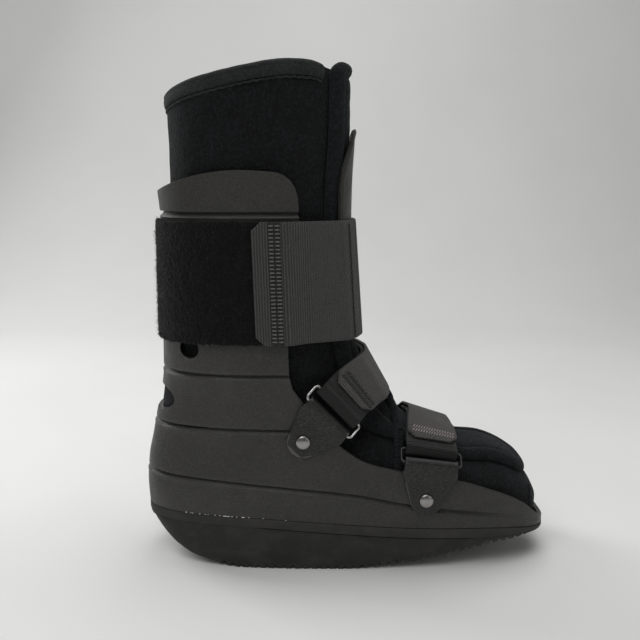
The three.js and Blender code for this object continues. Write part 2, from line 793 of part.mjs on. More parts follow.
// A wire bent into a long ring with round corners
function makeRing({ slope, lowBar, leaning }) {
  const rings = [];
  const [halfX, halfY] = [ringWidth / 2, ringDepth / 2];
  const across = acrossAt(slope);
  const thick = leaning.clone().cross(across);
  const centre = lowBar.clone().addScaledVector(leaning, halfY);
  for (const [sx, sy, start] of [[1, -1, -90], [1, 1, 0], [-1, 1, 90], [-1, -1, 180]]) {
    for (const turn of [0, 45, 90]) {
      const angle = radians(start + turn);
      const [c, s] = [Math.cos(angle), Math.sin(angle)];
      const middle = centre
        .clone()
        .addScaledVector(across, sx * (halfX - ringCorner) + c * ringCorner)
        .addScaledVector(leaning, sy * (halfY - ringCorner) + s * ringCorner);
      const outward = across.clone().multiplyScalar(c).addScaledVector(leaning, s);
      rings.push({ middle, outward });
    }
  }
  const points = [];
  const triangles = [];
  const sides = 6;
  rings.forEach(({ middle, outward }, r) => {
    for (let i = 0; i < sides; i += 1) {
      const angle = (2 * Math.PI * i) / sides;
      points.push(
        middle
          .clone()
          .addScaledVector(outward, (Math.cos(angle) * wire) / 2)
          .addScaledVector(thick, (Math.sin(angle) * wire) / 2),
      );
      const a = r * sides + i;
      const b = r * sides + ((i + 1) % sides);
      const next = sides * rings.length;
      triangles.push(a, b, (b + sides) % next, a, (b + sides) % next, (a + sides) % next);
    }
  });
  return solidOf(points, triangles);
}

function makeTab({ slope, rivet, face, lowBar }, { tabLength }) {
  const halfTop = ringWidth / 2 - ringCorner - gap;
  const outline = [at(-halfTop, tabLength), at(halfTop, tabLength)];
  const shoulder = tabLength * tabShoulder;
  outline.push(at(-halfTop - tabFlare, shoulder), at(halfTop + tabFlare, shoulder));
  for (const angle of angleRange(0, 324, 9)) {
    outline.push(at(Math.cos(angle) * tabFoot, Math.sin(angle) * tabFoot));
  }
  const plate = new THREE.ExtrudeGeometry(new THREE.Shape(hull(outline)), {
    depth: tabThickness,
    bevelEnabled: false,
  });
  plate.applyMatrix4(
    new THREE.Matrix4().makeBasis(acrossAt(slope), upAt(slope), toSide.clone().negate()),
  );
  plate.translate(rivet.x, -face, rivet.y);
  const inside = wire / 2 + gap;
  return solid(plate)
    .add(rod(lowBar, slope, inside + tabThickness, 2 * halfTop))
    .subtract(rod(lowBar, slope, inside, 2 * ringWidth))
    .subtract(rivetHole(rivet));
}

const rivetHole = (rivet) =>
  acrossBoot(roundHole(rivet.x, rivet.y, rivetShank + gap, rivetShank + gap), wide);

function makeRivet({ rivet, face }) {
  const seat = face + tabThickness + gap;
  const inner = shellHalfWidth(rivet.x, rivet.y, -shellWall);
  const edge = seat + rivetEdge;
  const profile = [at(0, inner), at(rivetShank, inner), at(rivetShank, seat), at(rivetHead, seat)];
  for (const angle of angleRange(0, 90, 3)) {
    profile.push(at(Math.cos(angle) * rivetHead, edge + Math.sin(angle) * rivetDome));
  }
  profile[profile.length - 1].x = 0;
  const geometry = new THREE.LatheGeometry(profile, 10);
  geometry.rotateX(Math.PI);
  geometry.translate(rivet.x, 0, rivet.y);
  return solid(geometry);
}

// Both layers of a strap over the foot. The line starts inside the near ring's upper bar, goes
// round it, over the foot and round the far bar.
function footStrapBodies(strap, bodies) {
  const { highBar, slope } = hardware(strap);
  const own = radians(strap.strapSlope);
  const centre = new THREE.Vector3(highBar.x, 0, highBar.z);
  const bar = -highBar.y;
  const turnAt = (flat) => {
    const away = Math.hypot(bar - Math.abs(flat.x), flat.y);
    return mix(slope, own, Math.min(1, away / strapTurn));
  };
  const rodPoints = [-1, 1].map((side) =>
    angleRange(0, 330, 11).map((a) =>
      at(side * bar + (Math.cos(a) * wire) / 2, (Math.sin(a) * wire) / 2),
    ),
  );
  const under = [0, 0.25, 0.5, 0.75, 1].flatMap((share) => {
    const turn = mix(slope, own, share);
    const frame = strapFrame(centre, toSide, upAt(turn));
    const near = 0.2 * Math.abs(own - slope);
    return pointsUnder(bodies, frame, smallStrapWidth, 0).filter(
      (flat) => Math.abs(turnAt(flat) - turn) < near,
    );
  });
  const line = [
    ...tautLine(rodPoints[0], angleRange(180 + strapTuck, 195, 6)),
    ...tautLine([...under, ...rodPoints.flat()], angleRange(180, 0, footStrapSteps)),
    ...tautLine(rodPoints[1], angleRange(-15, -strapTuck, 6)),
  ];
  const overLoop = strapEase + loopThickness + strapEase;
  const along = measured(line, overLoop, 7);
  const over = along[along.length - 8].length;
  const twists = [];
  for (let off = twistStep; off < strapTurn; off += twistStep) twists.push(off, over - off);
  const loopEnd = over - 3 * webbingSetback;
  const place = (flat, side) => {
    const turn = turnAt(flat);
    return centre
      .clone()
      .addScaledVector(toSide, flat.x)
      .addScaledVector(upAt(turn), flat.y)
      .addScaledVector(acrossAt(turn), side);
  };
  const fall = (length) => {
    const off = (length - loopEnd - gap) / webbingSetback;
    return mix(overLoop, strapEase, smooth(Math.min(1, Math.max(0, off))));
  };
  return {
    loop: strapBody(
      along,
      { from: along[0].length, to: loopEnd, lift: () => strapEase, width: smallStrapWidth,
        thickness: loopThickness, marks: twists.filter((off) => off < loopEnd) },
      place,
    ),
    webbing: strapBody(
      along,
      { from: webbingSetback, to: along[along.length - 1].length, lift: fall,
        width: smallStrapWidth, thickness: webbingThickness, chamfer: webbingChamfer,
        marks: [loopEnd + gap, ...twists.filter((off) => off > webbingSetback + webbingChamfer)] },
      place,
    ),
  };
}

// Materials
const finish = (color, roughness, metalness = 0) =>
  new THREE.MeshStandardMaterial({ color, roughness, metalness });
const finishes = {
  shell: finish(0x33312f, 0.6),
  sole: finish(0x262626, 0.75),
  liner: finish(0x111215, 0.95),
  flap: finish(0x15171b, 0.95),
  binding: finish(0x24272a, 0.9),
  pile: finish(0x0b0b0c, 1),
  webbing: finish(0x3f4043, 0.85),
  tab: finish(0x262627, 0.6),
  steel: finish(0xb4b4b4, 0.3, 1),
};

const boot = new THREE.Group();
function addPart(name, body, material) {
  const mesh = new THREE.Mesh(geometryOf(body), finishes[material]);
  mesh.name = name;
  boot.add(mesh);
  return mesh;
}

const rivetHoles = Object.values(footStraps)
  .map((strap) => rivetHole(rimPoint(strap)))
  .reduce((all, hole) => all.add(hole));
const shell = makeShell(rivetHoles);
const liner = makeLiner();
const flap = makeFlap();
const plate = makePlate();
addPart("shell", shell, "shell");
addPart("outsole", makeOutsole(), "sole");
addPart("liner", liner, "liner");
addPart("liner_front_flap", flap, "flap");
addPart("liner_top_binding", makeBinding(), "binding");
addPart("shin_plate", plate, "shell");

const calf = calfStraps([shell, liner, flap, plate]);
addPart("calf_loop_strap", calf.loop, "pile");
addPart("calf_webbing_strap", calf.webbing, "webbing");
addPart("calf_front_band", calf.front, "webbing");

for (const [name, strap] of Object.entries(footStraps)) {
  const places = hardware(strap);
  const layers = footStrapBodies(strap, [liner, flap]);
  addPart(`${name}_loop_strap`, layers.loop, "pile");
  addPart(`${name}_webbing_strap`, layers.webbing, "webbing");
  const pieces = {
    tab: [makeTab(places, strap), "tab"],
    ring: [makeRing(places), "steel"],
    rivet: [makeRivet(places), "steel"],
  };
  for (const [piece, [body, material]] of Object.entries(pieces)) {
    addPart(`${name}_${piece}_near`, body, material);
    addPart(`${name}_${piece}_far`, body, material).scale.y = -1;
  }
}

export default boot;
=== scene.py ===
import math
from contextlib import contextmanager

import bmesh
import bpy
import numpy as np
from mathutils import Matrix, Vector
from mathutils import noise as field


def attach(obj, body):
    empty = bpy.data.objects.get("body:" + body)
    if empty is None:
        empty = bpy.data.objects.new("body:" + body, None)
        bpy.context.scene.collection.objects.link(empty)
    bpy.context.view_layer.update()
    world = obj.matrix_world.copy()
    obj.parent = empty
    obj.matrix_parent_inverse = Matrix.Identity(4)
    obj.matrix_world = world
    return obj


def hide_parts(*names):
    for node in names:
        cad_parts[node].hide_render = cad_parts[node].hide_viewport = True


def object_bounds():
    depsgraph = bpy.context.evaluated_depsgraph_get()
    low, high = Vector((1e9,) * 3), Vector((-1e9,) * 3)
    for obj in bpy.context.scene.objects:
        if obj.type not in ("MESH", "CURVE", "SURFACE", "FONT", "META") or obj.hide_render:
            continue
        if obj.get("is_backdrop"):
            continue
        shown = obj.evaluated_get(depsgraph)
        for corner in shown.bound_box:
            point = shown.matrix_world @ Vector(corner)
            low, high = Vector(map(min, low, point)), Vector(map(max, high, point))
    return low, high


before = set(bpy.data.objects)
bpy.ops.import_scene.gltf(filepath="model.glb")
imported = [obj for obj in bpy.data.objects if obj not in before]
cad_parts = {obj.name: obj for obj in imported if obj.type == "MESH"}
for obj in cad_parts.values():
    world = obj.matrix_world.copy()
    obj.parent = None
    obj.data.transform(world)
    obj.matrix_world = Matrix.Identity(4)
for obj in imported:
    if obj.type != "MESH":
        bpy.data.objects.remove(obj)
cad_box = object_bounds()
rng = np.random.default_rng(11)
MM = 0.001

# Sizes in millimetres. Heights in levels: 0 at the floor, 1 at the ankle, 2 at the top of the
# wings or of the liner, by the rise that goes with them
SOLE_LENGTH = 295
HEEL_REACH = 117
HEEL_WIDTH = 99
BALL_WIDTH = 107
SHAFT_WIDTH = 104
SHAFT_FRONT = 153
ANKLE_HEIGHT = 140
WING_RISE = 139.5
LINER_RISE = 211
SOLE_HEIGHT = 41
TREAD_PITCH = 6.2
GAP = 0.35
SHELL_WALL = 3.2
SHELL_EDGE = 0.9
LINER_WALL = 8
LINER_EDGE = 2.2
FLAP_WIDTH = 66
FLAP_THICKNESS = 7
FLAP_TOP = 351.0
FLAP_ROLL = 4.0
FLAP_CREASE = 8.6
SLIT = 16
PLATE_WIDTH = 70
PLATE_ARCH = 44
PLATE_TOP = 1.8
PLATE_BOTTOM = 1.12
PLATE_WALL = 2.5
PLATE_EDGE = 0.8
PLATE_HALF = PLATE_WIDTH / 2 - 0.3
PLATE_FACE = GAP + FLAP_THICKNESS + 1 + GAP + PLATE_WALL
LOOP_THICKNESS = 2.8
WEBBING_THICKNESS = 2.2
CALF_WIDTH = 82
CALF_LEVEL = 1.47
CALF_REACH = 127
CALF_START = 23
CALF_LAP = 14
CALF_SEAM = 192
FOOT_STRAP_WIDTH = 36
STRAP_EASE = 0.9
STRAP_TURN = 45
STRAP_CHAMFER = 6
WEBBING_SETBACK = 12
WIRE = 2.4
RING_WIRE = 1.8
RING_WIDTH = 42
RING_DEPTH = 11.5
RING_CORNER = 2.6
TAB_THICKNESS = 2
TAB_FOOT = 11
TAB_EDGE = 0.55
RIVET_RADIUS = 5.0
DOME_HEIGHT = 1.85
DOME_SEAT = 0.35
VENT_RADIUS = 6.8
BACK_VENT_LEVEL = 0.864
BACK_VENT_HEIGHT = 18
BACK_VENT_WIDTH = 62
BACK_VENT_BEND = 130
CUTTER_REACH = 14
# Angles in degrees
STRAP_TUCK = 150
TAB_ROLL = 250
TAB_SHARP = 50
SHELL_SHARP = 42
SOLE_SHARP = 40


def along_sole(share):
    return share * SOLE_LENGTH - HEEL_REACH


def share_of(x):
    return (x + HEEL_REACH) / SOLE_LENGTH


def level(share, rise):
    share = np.asarray(share, float)
    return np.where(share <= 1, share * ANKLE_HEIGHT, ANKLE_HEIGHT + (share - 1) * rise)


def level_of(z):
    return np.where(z <= ANKLE_HEIGHT, z / ANKLE_HEIGHT, 1 + (z - ANKLE_HEIGHT) / WING_RISE)


def ramp(value, low, high):
    t = np.clip((value - low) / (high - low), 0, 1)
    return t * t * (3 - 2 * t)


def unit(vectors):
    return vectors / np.linalg.norm(vectors, axis=-1)[..., None]


def around(count):
    return np.linspace(0, 2 * math.pi, count, endpoint=False)


def running_sum(steps):
    return np.concatenate([[0], np.cumsum(steps)])


# A smooth reading of a table of rows: no overshoot between two rows
class Table:
    def __init__(self, names, rows):
        data = np.array(rows, float)
        self.x = data[:, 0]
        self.names = names.split()[1:]
        self.y = data[:, 1:]
        slope = np.diff(self.y, axis=0) / np.diff(self.x)[:, None]
        inner = np.where(slope[1:] * slope[:-1] > 0, 2 * slope[1:] * slope[:-1], 0)
        total = slope[1:] + slope[:-1]
        inner = inner / np.where(np.abs(total) > 1e-12, total, 1)
        self.d = np.vstack([slope[:1], inner, slope[-1:]])

    def __call__(self, at):
        at = np.clip(np.asarray(at, float), self.x[0], self.x[-1])
        i = np.clip(np.searchsorted(self.x, at, side="right") - 1, 0, len(self.x) - 2)
        h = (self.x[i + 1] - self.x[i])[..., None]
        t = (at - self.x[i])[..., None] / h
        value = (
            (2 * t**3 - 3 * t**2 + 1) * self.y[i]
            + (t**3 - 2 * t**2 + t) * h * self.d[i]
            + (3 * t**2 - 2 * t**3) * self.y[i + 1]
            + (t**3 - t**2) * h * self.d[i + 1]
        )
        return {name: value[..., k] for k, name in enumerate(self.names)}


# Side profiles of the sole: shares of the sole length and of the sole height
JOINT = Table("x z", [
    (0, 1.0), (0.27, 0.965), (0.45, 0.88), (0.62, 0.8), (0.82, 0.735), (0.9, 0.68), (0.96, 0.6),
    (1.0, 0.54),
])
GROUND = Table("x z", [
    (0, 0.73), (0.03, 0.62), (0.08, 0.35), (0.13, 0.17), (0.19, 0.07), (0.25, 0), (0.48, 0),
    (0.6, 0.1), (0.7, 0.2), (0.79, 0.33), (0.87, 0.42), (1.0, 0.44),
])

# The shell's outline by level: its back, its change from sole to shaft, its width and squareness
SHELL_LEVELS = Table("up back shaft swell square", [
    (0.08, 0.004, 0, 0.93, 2.9), (0.26, 0.003, 0, 0.97, 2.9), (0.4, 0, 0, 1, 2.9),
    (0.54, 0.005, 0.05, 0.99, 2.8), (0.65, 0.016, 0.22, 0.97, 2.7),
    (0.76, 0.026, 0.42, 0.965, 2.6), (0.88, 0.039, 0.62, 0.97, 2.5), (1.0, 0.047, 0.8, 0.985, 2.5),
    (1.15, 0.049, 0.95, 1, 2.5), (1.45, 0.051, 1, 1, 2.5), (1.77, 0.052, 1, 1, 2.5),
    (1.9, 0.047, 1, 1, 2.5), (2.1, 0.039, 1, 1.02, 2.5), (3.0, 0.039, 1, 1.02, 2.5),
])


def joint_z(x):
    return JOINT(share_of(x))["z"] * SOLE_HEIGHT


def ground_z(x):
    return GROUND(share_of(x))["z"] * SOLE_HEIGHT


def shell_outline(z, grow=0.0):
    row = SHELL_LEVELS(level_of(np.asarray(z, float)))
    back = along_sole(row["back"]) - grow
    front = SOLE_LENGTH + (SHAFT_FRONT - SOLE_LENGTH) * row["shaft"] - HEEL_REACH + grow
    heel = HEEL_WIDTH + (SHAFT_WIDTH - HEEL_WIDTH) * row["shaft"]
    ball = BALL_WIDTH + (SHAFT_WIDTH - BALL_WIDTH) * row["shaft"]
    return {
        "mid": (back + front) / 2,
        "half": (front - back) / 2,
        "heel": heel / 2 * row["swell"] + grow,
        "ball": ball / 2 * row["swell"] + grow,
        "square": row["square"],
    }


def outline_width(outline, along):
    return outline["heel"] + (outline["ball"] - outline["heel"]) * ramp(along, -1, 1)


def squircle(angle, power):
    c, s = np.cos(angle), np.sin(angle)
    return c, s, (np.abs(c) ** power + np.abs(s) ** power) ** (-1 / power)


# A point of an outline at an angle: 0 at the back centre, half a turn at the front centre
def outline_point(outline, angle):
    c, s, r = squircle(angle, outline["square"])
    along = -r * c
    return outline["mid"] + outline["half"] * along, outline_width(outline, along) * r * s


# Where an outline passes a place in the side view: shares of its length and of its width
def outline_side(outline, x):
    along = np.clip((x - outline["mid"]) / outline["half"], -1, 1)
    n = outline["square"]
    return along, (1 - np.abs(along) ** n) ** (1 / n)


def shell_half_width(x, z, grow=0.0):
    outline = shell_outline(z, grow)
    along, side = outline_side(outline, x)
    return outline_width(outline, along) * side


def angle_at(outline, x):
    along, side = outline_side(outline, x)
    return np.arctan2(side, -along)


# Mesh helpers: points in millimetres
def mesh_object(name, points, faces):
    mesh = bpy.data.meshes.new(name)
    points = np.asarray(points).reshape(-1, 3)
    mesh.from_pydata((points * MM).tolist(), [], [list(f) for f in faces])
    mesh.polygons.foreach_set("use_smooth", [True] * len(mesh.polygons))
    mesh.update()
    piece = bpy.data.objects.new(name, mesh)
    bpy.context.scene.collection.objects.link(piece)
    return piece


def grid_faces(rows, cols, wrap=False, start=0):
    faces = []
    for r in range(rows - 1):
        for c in range(cols if wrap else cols - 1):
            a = start + r * cols + c
            b = start + r * cols + (c + 1) % cols
            faces.append((a, b, b + cols, a + cols))
    return faces


# A wrapped grid with a cap on both ends
def tube_faces(rows, cols, start=0):
    last = start + (rows - 1) * cols
    caps = [tuple(range(start, start + cols)), tuple(reversed(range(last, last + cols)))]
    return grid_faces(rows, cols, True, start) + caps


@contextmanager
def mesh_edit(piece):
    bm = bmesh.new()
    bm.from_mesh(piece.data)
    yield bm
    bm.to_mesh(piece.data)
    bm.free()


def turn_outward(piece):
    with mesh_edit(piece) as bm:
        bmesh.ops.recalc_face_normals(bm, faces=bm.faces)


def weld(piece, distance):
    with mesh_edit(piece) as bm:
        bmesh.ops.remove_doubles(bm, verts=bm.verts, dist=distance * MM)
        bmesh.ops.recalc_face_normals(bm, faces=bm.faces)


def solid(name, points, faces, distance=0.001):
    piece = mesh_object(name, points, faces)
    weld(piece, distance)
    return piece


# Adds one modifier and makes its result the piece's mesh
def apply_modifier(piece, kind, **values):
    added = piece.modifiers.new(kind.lower(), kind)
    for key, value in values.items():
        setattr(added, key, value)
    depsgraph = bpy.context.evaluated_depsgraph_get()
    mesh = bpy.data.meshes.new_from_object(piece.evaluated_get(depsgraph))
    old = piece.data
    piece.modifiers.clear()
    piece.data = mesh
    mesh.name = piece.name
    bpy.data.meshes.remove(old)
    mesh.polygons.foreach_set("use_smooth", [True] * len(mesh.polygons))


def cut(piece, cutter):
    apply_modifier(piece, "BOOLEAN", object=cutter, operation="DIFFERENCE", solver="EXACT")
    bpy.data.objects.remove(cutter)


# Gives a sheet its wall, with rounded edges
def thicken(piece, wall, edge):
    for _ in range(2):
        piece.data.materials.append(None)
    apply_modifier(piece, "SOLIDIFY", thickness=wall * MM, offset=-1, material_offset_rim=1)
    with mesh_edit(piece) as bm:
        weight = bm.edges.layers.float.new("bevel_weight_edge")
        for e in bm.edges:
            e[weight] = 1.0 if len({f.material_index for f in e.link_faces}) == 2 else 0.0
        for f in bm.faces:
            f.material_index = 0
    apply_modifier(piece, "BEVEL", width=edge * MM, segments=3, limit_method="WEIGHT")


def join(pieces):
    bpy.ops.object.select_all(action="DESELECT")
    for piece in pieces:
        piece.select_set(True)
    bpy.context.view_layer.objects.active = pieces[0]
    bpy.ops.object.join()
    return pieces[0]


# A round body along y, from its profile of places and radii
def lathe(name, profile, count, x, z, distance=0.001):
    points = [(x + r * math.cos(a), y, z + r * math.sin(a)) for y, r in profile for a in around(count)]
    return solid(name, points, tube_faces(len(profile), count), distance)


def finish_piece(piece, material, slot, *nodes):
    piece.data.materials.clear()
    piece.data.materials.append(material)
    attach(piece, "root")
    if nodes:
        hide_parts(*nodes)
    return piece


# Shell. Side view of its rim: the top of the wings, their front edge, and the rim over the foot
WING_TOP = Table("x up", [
    (-0.05, 1.86), (0.03, 1.89), (0.1, 1.945), (0.19, 1.99), (0.25, 2.0), (0.33, 1.99),
    (0.35, 1.977), (0.358, 1.965), (0.365, 1.95),
])
WING_FRONT = Table("up x", [
    (0.95, 0.368), (1.02, 0.36), (1.15, 0.358), (1.78, 0.384), (1.87, 0.382), (1.905, 0.3775),
    (1.933, 0.3715), (1.95, 0.365),
])
FOOT_RIM = Table("x up", [
    (0.368, 0.95), (0.395, 0.87), (0.44, 0.75), (0.49, 0.64), (0.54, 0.575), (0.62, 0.53),
    (0.76, 0.475), (0.85, 0.41), (0.92, 0.335), (0.96, 0.26), (0.985, 0.21), (1.0, 0.193),
])
FOOT_GROOVE = Table("x up", [
    (-0.05, 0.485), (0.15, 0.47), (0.3, 0.448), (0.52, 0.402), (0.62, 0.36), (0.73, 0.322),
    (0.83, 0.29), (0.9, 0.262), (0.95, 0.22), (1.0, 0.175),
])
SPLIT_UP = 0.95
STRAIGHT_LINES = {"ankle": 0.736, "split": SPLIT_UP, "shaft": 1.014, "wing": 1.797}
# Rows of a groove from its lower lip up: height off its middle line, and depth
GROOVE_ROWS = [
    (-3.0, 0), (-2.5, -0.35), (-2.0, -0.1), (-0.8, 1.5), (0.2, 2.3), (1.4, 2.4), (1.6, 0.15), (2.2, 0),
]
# The lowest groove narrows where the shell's side is lower than this
GROOVE_ROOM = 20
# Where the lowest groove ends at the toe and the ankle groove ends at the foot
FOOT_GROOVE_FADE = (110, 150)
ANKLE_GROOVE_FADE = (-8, 4)
# Stretches between the lines round the shell, with their counts of rows
LOW_STRETCHES = [("joint", "foot-", 11), ("foot+", "ankle-", 12), ("ankle+", "split", 10)]
WING_STRETCHES = [("split", "shaft-", 3), ("shaft+", "wing-", 40), ("wing+", "top", 8)]
# Columns of the mesh behind the wings' front edge and in front of it
WING_COLUMNS = 66
FOOT_COLUMNS = 104
# A row's heights depend on its places along the boot, so they are found in steps, damped at first
FIT_STEPS = 12
DAMPED_STEPS = 8
FIT_START = 60.0
SIDE_VENTS = [(0.129, 1.145), (0.126, 1.715)]
# The back vent's cutter from inside out: place along the boot, and growth of its outline
BACK_VENT_ROWS = [(-6.0, 1.3), (-1.0, 1.3), (0.3, 0.7), (1.0, 0.2), (1.6, 0.0), (17.0, 0.0)]


def wing_top_z(x):
    return level(WING_TOP(share_of(x))["up"], WING_RISE)


def foot_rim_z(x):
    return level(FOOT_RIM(share_of(x))["up"], WING_RISE)


def foot_groove_z(x):
    return level(FOOT_GROOVE(share_of(x))["up"], WING_RISE)


def wing_front_x(z):
    return along_sole(WING_FRONT(level_of(z))["x"])


# For each height, the angles of columns an equal length apart round the outline
class Columns:
    STEP = 3.0

    def __init__(self, count, behind_edge):
        self.z = np.arange(12, 290, self.STEP)
        self.table = []
        for z in self.z:
            outline = shell_outline(z)
            edge = angle_at(outline, wing_front_x(z))
            first, last = (0, edge) if behind_edge else (edge, math.pi)
            angles = np.linspace(first, last, 400)
            x, y = outline_point(outline, angles)
            length = running_sum(np.hypot(np.diff(x), np.diff(y)))
            self.table.append(np.interp(np.linspace(0, length[-1], count), length, angles))
        self.table = np.array(self.table)

    def angle(self, column, z):
        at = np.clip((z - self.z[0]) / self.STEP, 0, len(self.z) - 1.001)
        i = at.astype(int)
        t = at - i
        return self.table[i, column] * (1 - t) + self.table[i + 1, column] * t


# The height of a line round the shell. Lines at a groove end in - at its lower lip, in + at its upper
def line_z(name, x, behind_edge, off=0.0):
    off = off + {"-": GROOVE_ROWS[0][0], "+": GROOVE_ROWS[-1][0]}.get(name[-1], 0.0)
    base = name.rstrip("+-")
    if base == "joint":
        return joint_z(x)
    if base == "foot":
        return foot_groove_z(x) + off * np.clip((foot_rim_z(x) - joint_z(x)) / GROOVE_ROOM, 0.1, 1)
    if base == "top":
        return wing_top_z(x)
    if behind_edge:
        return level(STRAIGHT_LINES[base], WING_RISE) + off + 0 * x
    split = float(level(SPLIT_UP, WING_RISE))
    edge = wing_front_x(split)
    foot_edge = line_z("foot+", edge, True)
    share = (line_z(base, edge, True, off) - foot_edge) / (split - foot_edge)
    foot = line_z("foot+", x, True)
    return foot + (foot_rim_z(x) - foot) * share


# How much of a groove shows at a place along the boot
def groove_shows(name, x):
    if name == "foot":
        return 1 - 0.85 * ramp(x, *FOOT_GROOVE_FADE)
    if name == "ankle":
        return 1 - ramp(x, *ANKLE_GROOVE_FADE)
    return 1 + 0 * x


# Rows between the lines round the shell, each as two lines, a share, a height off and a depth
def shell_rows(stretches):
    rows = []
    for low, high, count in stretches:
        if low.endswith("+"):
            groove = low[:-1]
            rows += [(groove, groove, 0.0, off, depth) for off, depth in GROOVE_ROWS]
        rows += [(low, high, i / count, 0.0, 0.0) for i in range(count)]
    top = stretches[-1][1]
    return rows + [(top, top, 0.0, 0.0, 0.0)]


def shell_block(count, behind_edge):
    columns = Columns(count, behind_edge)
    column = np.arange(count)
    points = []
    for low, high, share, off, depth in shell_rows(LOW_STRETCHES + WING_STRETCHES * behind_edge):
        z = np.full(count, FIT_START)
        for step in range(FIT_STEPS):
            x, _ = outline_point(shell_outline(z), columns.angle(column, z))
            a = line_z(low, x, behind_edge, off)
            b = line_z(high, x, behind_edge, off)
            new = a + (b - a) * share
            z = 0.5 * z + 0.5 * new if step < DAMPED_STEPS else new
        groove = depth * groove_shows(low, x)
        x, y = outline_point(shell_outline(z, -groove), columns.angle(column, z))
        points.append(np.stack([x, y, z], axis=1))
    return np.array(points)


def vent_cutters():
    cutters = []
    for share, up in SIDE_VENTS:
        x, z = along_sole(share), float(level(up, WING_RISE))
        face = float(shell_half_width(x, z))
        near, far = face + CUTTER_REACH, face - CUTTER_REACH
        profile = [(y, VENT_RADIUS) for y in (-near, -far, far, near)]
        cutters.append(lathe("cutter", profile, 40, x, z))
    z = float(level(BACK_VENT_LEVEL, WING_RISE))
    back = float(along_sole(SHELL_LEVELS(z / ANKLE_HEIGHT)["back"]))
    points = []
    for off, more in BACK_VENT_ROWS:
        for a in around(56):
            c, s = math.cos(a), math.sin(a)
            y = (BACK_VENT_WIDTH / 2 + more) * math.copysign(abs(c) ** 0.55, c)
            up = (BACK_VENT_HEIGHT / 2 + more) * math.copysign(abs(s) ** 0.8, s)
            points.append((back + off + y * y / BACK_VENT_BEND, y, z + up))
    cutters.append(solid("cutter", points, tube_faces(len(BACK_VENT_ROWS), 56)))
    return join(cutters)


def make_shell():
    points, faces = [], []
    for block in (shell_block(WING_COLUMNS, True), shell_block(FOOT_COLUMNS, False)):
        for side in (1, -1):
            quads = grid_faces(*block.shape[:2], start=len(points))
            points.extend((block.reshape(-1, 3) * (1, side, 1)).tolist())
            faces.extend(quads if side > 0 else [tuple(reversed(q)) for q in quads])
    shell = solid("boot_shell", points, faces, 0.25)
    thicken(shell, SHELL_WALL, SHELL_EDGE)
    cut(shell, vent_cutters())
    shell.data.set_sharp_from_angle(angle=math.radians(SHELL_SHARP))
    return shell


# Liner rings from the top round the heel to the toe: a back or sole point and a front or instep
# point in shares of the sole length and in levels, and each ring's width and squareness
LINER_RINGS = Table("ring bx bz fx fz fill under over", [
    (0, 0.075, 2.05, 0.481, 2.08, 0.97, 2.5, 2.4), (1, 0.076, 1.78, 0.48, 1.83, 0.97, 2.5, 2.4),
    (2, 0.078, 1.57, 0.472, 1.6, 0.97, 2.5, 2.4), (3, 0.072, 1.4, 0.47, 1.4, 0.98, 2.5, 2.4),
    (4, 0.066, 1.24, 0.477, 1.24, 0.99, 2.5, 2.4), (5, 0.064, 1.07, 0.492, 1.1, 0.99, 2.5, 2.4),
    (6, 0.055, 0.89, 0.515, 1.01, 0.98, 2.6, 2.4), (7, 0.037, 0.68, 0.54, 0.93, 0.97, 2.6, 2.4),
    (8, 0.016, 0.49, 0.562, 0.85, 0.96, 2.7, 2.3), (9, 0.028, 0.36, 0.582, 0.79, 0.96, 2.7, 2.3),
    (10, 0.075, 0, 0.603, 0.745, 0.96, 2.8, 2.3), (11, 0.19, 0, 0.627, 0.705, 0.96, 3, 2.3),
    (12, 0.33, 0, 0.655, 0.67, 0.96, 3.2, 2.3), (13, 0.48, 0, 0.69, 0.63, 0.96, 3.4, 2.3),
    (14, 0.62, 0, 0.73, 0.585, 0.97, 3.6, 2.4), (15, 0.74, 0, 0.78, 0.55, 0.98, 3.8, 2.4),
    (16, 0.83, 0, 0.84, 0.54, 0.98, 3.8, 2.5), (17, 0.89, 0, 0.893, 0.505, 0.98, 3.6, 2.6),
    (18, 0.93, 0, 0.93, 0.46, 0.97, 3.2, 2.6), (19, 0.956, 0, 0.956, 0.41, 0.95, 2.8, 2.6),
    (20, 0.974, 0.26, 0.973, 0.35, 0.8, 2.4, 2.4),
])
LAST_RING = 20
LINER_TOP = Table("x up", [
    (0.05, 1.88), (0.075, 1.896), (0.125, 1.924), (0.2, 1.95), (0.31, 1.981), (0.37, 1.99),
    (0.41, 1.99), (0.45, 1.975), (0.55, 1.96),
])


def liner_top_z(x):
    return level(LINER_TOP(share_of(x))["up"], LINER_RISE)


# A ring's row, half its width, and a function for its points: share of its length, distance across
def ring_at(t, grow):
    row = LINER_RINGS(t)
    bx, fx = along_sole(row["bx"]), along_sole(row["fx"])
    bz = np.maximum(level(row["bz"], LINER_RISE), joint_z(bx) + SHELL_WALL + GAP)
    fz = level(row["fz"], LINER_RISE)
    cx, cz = (bx + fx) / 2, (bz + fz) / 2
    length = np.hypot(fx - bx, fz - bz)
    half = length / 2 + grow
    width = shell_half_width(cx, cz, -SHELL_WALL - GAP) * row["fill"] + grow

    def point(share, y):
        x = cx + (fx - bx) / length * (share * half)
        z = cz + (fz - bz) / length * (share * half)
        return np.stack(np.broadcast_arrays(x, y, z), axis=-1)

    return row, width, point


def liner_point(t, angle, grow=0.0):
    row, width, point = ring_at(t, grow)
    c, s, r = squircle(angle, np.where(np.cos(angle) > 0, row["under"], row["over"]))
    return point(-r * c, width * r * s)


# A point on the front of a ring at a distance from the mid plane
def front_point(t, y, grow=0.0):
    row, width, point = ring_at(t, grow)
    side = np.clip(np.abs(y) / width, 0, 1)
    return point((1 - side ** row["over"]) ** (1 / row["over"]), y)


# The ring at which a function of the ring falls to zero
def solve_ring(function, high):
    low = 0 * high
    for _ in range(34):
        middle = (low + high) / 2
        above = function(middle) > 0
        low = np.where(above, middle, low)
        high = np.where(above, high, middle)
    return (low + high) / 2


